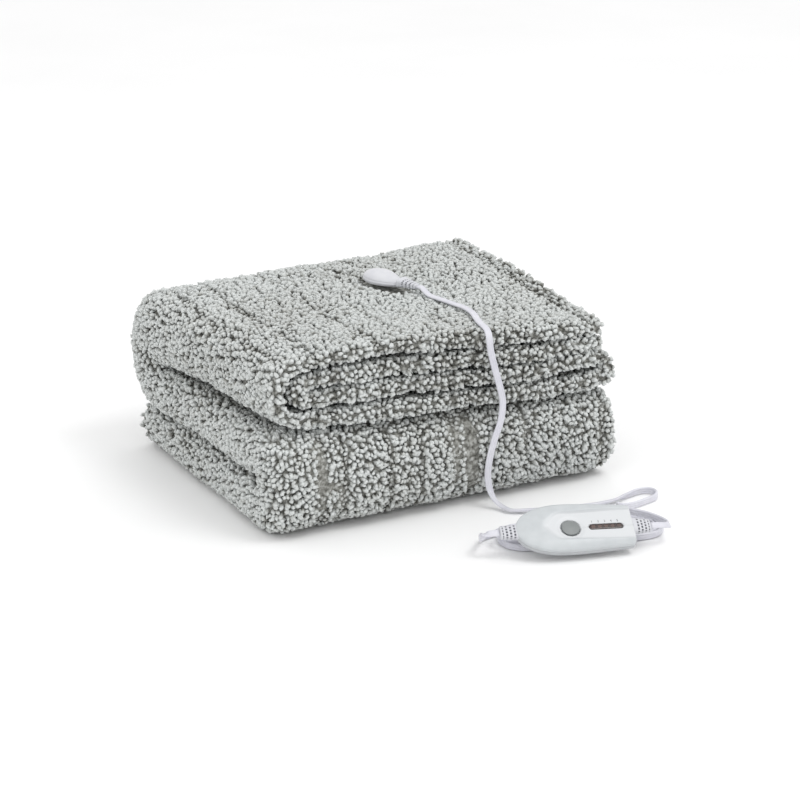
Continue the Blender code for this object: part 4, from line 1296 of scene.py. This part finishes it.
# %% Lock shapes and how they stand
LOCK_SIDES = 5
LOCK_RINGS = ((0.36, 1.12, 0.05), (0.80, 0.94, 0.45))
LOCK_HEIGHT, LOCK_RADIUS = 0.0056, 0.00262
ROOT_SUNK = 0.0009
PRESSED = 0.0050
ON_TOP = 0.165


def press_share(places):
    """How far the lead and the connector hold the pile down: 0 free, 1 flat."""
    over = lead_line[lead_line[:, 2] > ON_TOP]
    gap = np.sqrt(((places[:, None, :] - over[None, ::2, :]) ** 2).sum(axis=2)).min(axis=1)
    under_lead = 1 - soft_step((gap - 0.0030) / PRESSED)
    local = (places - np.array(CONNECTOR)[:3, 3]) @ np.array(CONNECTOR)[:3, :3]
    reach = np.hypot((local[:, 0] - 0.004) / 0.034, local[:, 1] / 0.0165)
    under_connector = (1 - soft_step((reach - 0.92) / 0.25)) * (np.abs(local[:, 2]) < 0.02)
    return np.maximum(0.62 * under_lead, under_connector)


def lock_points(places, ways, shown_share, seed):
    """Rings round a bent spine, root + way h t + lean h t^1.6 + side curl, as one (locks, 12, 3) array."""
    random = np.random.default_rng(seed)
    count = len(places)
    x, y, z = places.T
    held = press_share(places)
    groove = np.clip((-cloth_relief(places, ways) - 0.0012) / 0.0022, 0.0, 1.0)
    field = np.stack([
        np.sin(41 * x + 23 * y + 1.7 * np.sin(29 * z)),
        np.sin(37 * y - 19 * x + 31 * z + 0.8),
        np.sin(33 * z + 27 * x) - 0.45,
    ], axis=1)
    clump = np.stack([
        np.sin(610 * x + 180 * z + 2.0 * np.sin(170 * y)),
        np.sin(560 * y - 150 * x + 2.0 * np.sin(190 * z)),
        np.sin(590 * z + 160 * y + 2.0 * np.sin(180 * x)),
    ], axis=1)
    field = field + 1.3 * clump + 0.8 * random.normal(size=(count, 3))
    lean = field - ways * (field * ways).sum(axis=1, keepdims=True)
    lean /= np.linalg.norm(lean, axis=1, keepdims=True) + 1e-9
    beside = np.cross(ways, lean)
    size = (0.80 + 0.36 * random.random(count)) * (1 + 0.14 * clump[:, 0] * clump[:, 1])
    size = size * (1 - 0.40 * groove) * (0.62 + 0.38 * shown_share)
    height = LOCK_HEIGHT * size * (1 - 0.80 * held)
    radius = LOCK_RADIUS * (0.82 + 0.36 * random.random(count)) * (1 - 0.05 * groove)
    radius = radius * (0.8 + 0.2 * shown_share)
    tilt = 0.25 + 0.55 * random.random(count)
    curl = 0.28 * random.normal(size=count)
    turn = random.random(count) * 2 * math.pi
    root = places - ways * ROOT_SUNK
    grid = np.empty((count, LOCK_SIDES * len(LOCK_RINGS) + 2, 3))
    for ring, (t, wide, over) in enumerate(LOCK_RINGS):
        spine = root + ways * (height * t)[:, None] + lean * (height * tilt * t**1.6)[:, None]
        spine += beside * (height * curl * t * (1 - 0.3 * t))[:, None]
        fold = ways * math.cos(over) + lean * math.sin(over)
        side_a = np.cross(beside, fold)
        for k in range(LOCK_SIDES):
            angle = turn + 2 * math.pi * k / LOCK_SIDES + 0.5 * ring
            flat = side_a * np.cos(angle)[:, None] + beside * (0.82 * np.sin(angle))[:, None]
            bump = wide * (1 + 0.20 * np.sin(3.1 * k + 5 * turn + 1.7 * ring))
            grid[:, ring * LOCK_SIDES + k] = spine + flat * (radius * bump)[:, None]
    tip = root + ways * height[:, None] + lean * (height * (tilt + 0.16))[:, None]
    grid[:, -2] = tip + beside * (height * curl * 0.8)[:, None]
    grid[:, -1] = root
    # Each lock's tone is random with a slow wave, less painted shade for locks in a groove or in a hollow of
    # the cloth.
    shade = 0.5 + 0.22 * random.normal(size=count) + 0.20 * np.sin(19 * x + 7) * np.sin(23 * y + 13 * z)
    shade = shade - 1.10 * groove - 0.75 * (1 - shown_share)
    return grid, np.clip(shade, 0, 1), held


def lock_faces():
    """The faces of one lock: a band between its rings, a fan to its tip and a fan to its root."""
    faces = []
    for ring in range(len(LOCK_RINGS) - 1):
        for k in range(LOCK_SIDES):
            a, b = ring * LOCK_SIDES + k, ring * LOCK_SIDES + (k + 1) % LOCK_SIDES
            faces += [(a, b, b + LOCK_SIDES), (a, b + LOCK_SIDES, a + LOCK_SIDES)]
    last = (len(LOCK_RINGS) - 1) * LOCK_SIDES
    tip = len(LOCK_RINGS) * LOCK_SIDES
    faces += [(last + k, last + (k + 1) % LOCK_SIDES, tip) for k in range(LOCK_SIDES)]
    faces += [((k + 1) % LOCK_SIDES, k, tip + 1) for k in range(LOCK_SIDES)]
    return np.array(faces)


def sherpa_finish():
    """Painted shade dark at the root and near white at the tip: height + each lock's tone and painted shade +
    a fine fibre noise.
    """
    material, nodes, links, shader, place = start_material("sherpa_pile")
    fibre = add_noise(nodes, links, place, 720.0, 5.0)
    paleness = read_value(nodes, "root_to_tip")
    tone_and_painted_shade = add_range(nodes, links, read_value(nodes, "lock_tone_and_painted_shade"), -0.42, 0.18)
    for shift in (tone_and_painted_shade, add_range(nodes, links, fibre, -0.20, 0.18)):
        total = nodes.new("ShaderNodeMath")
        links.new(paleness, total.inputs[0])
        links.new(shift, total.inputs[1])
        paleness = total.outputs["Value"]
    # Dark roots are painted shade among the locks; the pale tips are their own colour.
    tone = add_ramp(nodes, links, paleness, (
        (0.04, (0.070, 0.068, 0.056)), (0.30, (0.30, 0.30, 0.275)), (0.46, (0.60, 0.615, 0.595)),
        (0.85, (0.72, 0.745, 0.735)),
    ))
    links.new(tone, shader.inputs["Base Color"])
    links.new(add_range(nodes, links, fibre, 0.88, 1.0), shader.inputs["Roughness"])
    shader.inputs["Sheen Weight"].default_value = 0.18
    shader.inputs["Specular IOR Level"].default_value = 0.15
    add_bump(nodes, links, fibre, shader, 0.0016, 1.0)
    return material


# %% Build the pile in pieces of 6,000 locks
LOCKS_A_PIECE = 6000
FLOOR_CLEAR, CLEAR_STEP = 0.0005, 0.0002
PRESSED_AWAY = 0.93
lock_grid, lock_tone_and_shade, lock_held = lock_points(lock_at, lock_way, lock_open, SEED + 1)
standing = lock_held < PRESSED_AWAY
lock_grid, lock_tone_and_shade = lock_grid[standing], lock_tone_and_shade[standing]
lock_size = lock_grid.shape[1]
lock_grid[..., 2] = np.maximum(lock_grid[..., 2], FLOOR_CLEAR + CLEAR_STEP * np.arange(lock_size))
one_lock = lock_faces()
# Height along each lock, which the pile's colour turns into painted shade at the root.
root_to_tip = np.array([0.50] * LOCK_SIDES + [0.84] * LOCK_SIDES + [1.0, 0.0])
sherpa_pile = sherpa_finish()
pile_pieces = []
for first_lock in range(0, len(lock_grid), LOCKS_A_PIECE):
    part = lock_grid[first_lock:first_lock + LOCKS_A_PIECE]
    part_tone_and_shade = lock_tone_and_shade[first_lock:first_lock + LOCKS_A_PIECE]
    many = len(part)
    faces = (one_lock[None] + np.arange(many)[:, None, None] * lock_size).reshape(-1, 3)
    mesh = bpy.data.meshes.new(f"pile_{len(pile_pieces) + 1}")
    mesh.vertices.add(many * lock_size)
    mesh.vertices.foreach_set("co", part.ravel())
    mesh.loops.add(faces.size)
    mesh.loops.foreach_set("vertex_index", faces.ravel())
    mesh.polygons.add(len(faces))
    mesh.polygons.foreach_set("loop_start", np.arange(len(faces)) * 3)
    mesh.update(calc_edges=True)
    mesh.shade_smooth()
    mesh.materials.append(sherpa_pile)
    piece = own_piece(mesh.name, mesh, "stack")
    give_values(piece, "root_to_tip", np.tile(root_to_tip, many))
    give_values(piece, "lock_tone_and_painted_shade", np.repeat(part_tone_and_shade, lock_size))
    pile_pieces.append(piece)
print("locks", len(lock_grid), "triangles in the pile", len(lock_grid) * len(one_lock))

# %% [markdown]
# ## Floor and light
# The object lies on a plain pale floor that runs back into a plain pale surround. One large soft light
# hangs over the right, a weaker one fills from the left, and the surround gives the rest.

# %% Floor, surround and lights
FLOOR_HALF = 6.0
floor_corners = [(x * FLOOR_HALF, y * FLOOR_HALF, 0) for x, y in ((-1, -1), (1, -1), (1, 1), (-1, 1))]
floor_mesh = bpy.data.meshes.new("studio_floor")
floor_mesh.from_pydata(floor_corners, [], [(0, 1, 2, 3)])
floor_piece = add_object("studio_floor", floor_mesh)
floor_finish, nodes, links, shader, place = start_material("studio_floor")
floor_tones = (0.3, (0.94, 0.94, 0.94)), (0.7, (0.96, 0.96, 0.96))
drift = add_noise(nodes, links, place, 3.0)
links.new(add_ramp(nodes, links, drift, floor_tones), shader.inputs["Base Color"])
shader.inputs["Roughness"].default_value = 0.9
floor_mesh.materials.append(floor_finish)

world = bpy.data.worlds.new("studio_surround")
world.use_nodes = True
surround = world.node_tree.nodes["Background"]
surround.inputs["Color"].default_value = (1.0, 1.0, 1.0, 1.0)
surround.inputs["Strength"].default_value = 1.0
bpy.context.scene.world = world


def soft_light(name, at, power, size):
    """A square light of this many watts and metres a side, turned to the middle of the stack."""
    data = bpy.data.lights.new(name, "AREA")
    data.energy = power
    data.size = size
    light = add_object(name, data)
    light.location = at
    light.rotation_euler = (LIGHTS_AIM - Vector(at)).to_track_quat("-Z", "Y").to_euler()


LIGHTS_AIM = Vector((0.0, 0.0, 0.08))
soft_light("key_light", (0.7, -1.1, 2.2), 14.0, 0.9)
soft_light("fill_light", (-1.8, -0.8, 1.2), 3.0, 1.2)
bpy.context.scene.view_settings.view_transform = "Standard"
print("floor, surround and two lights made")
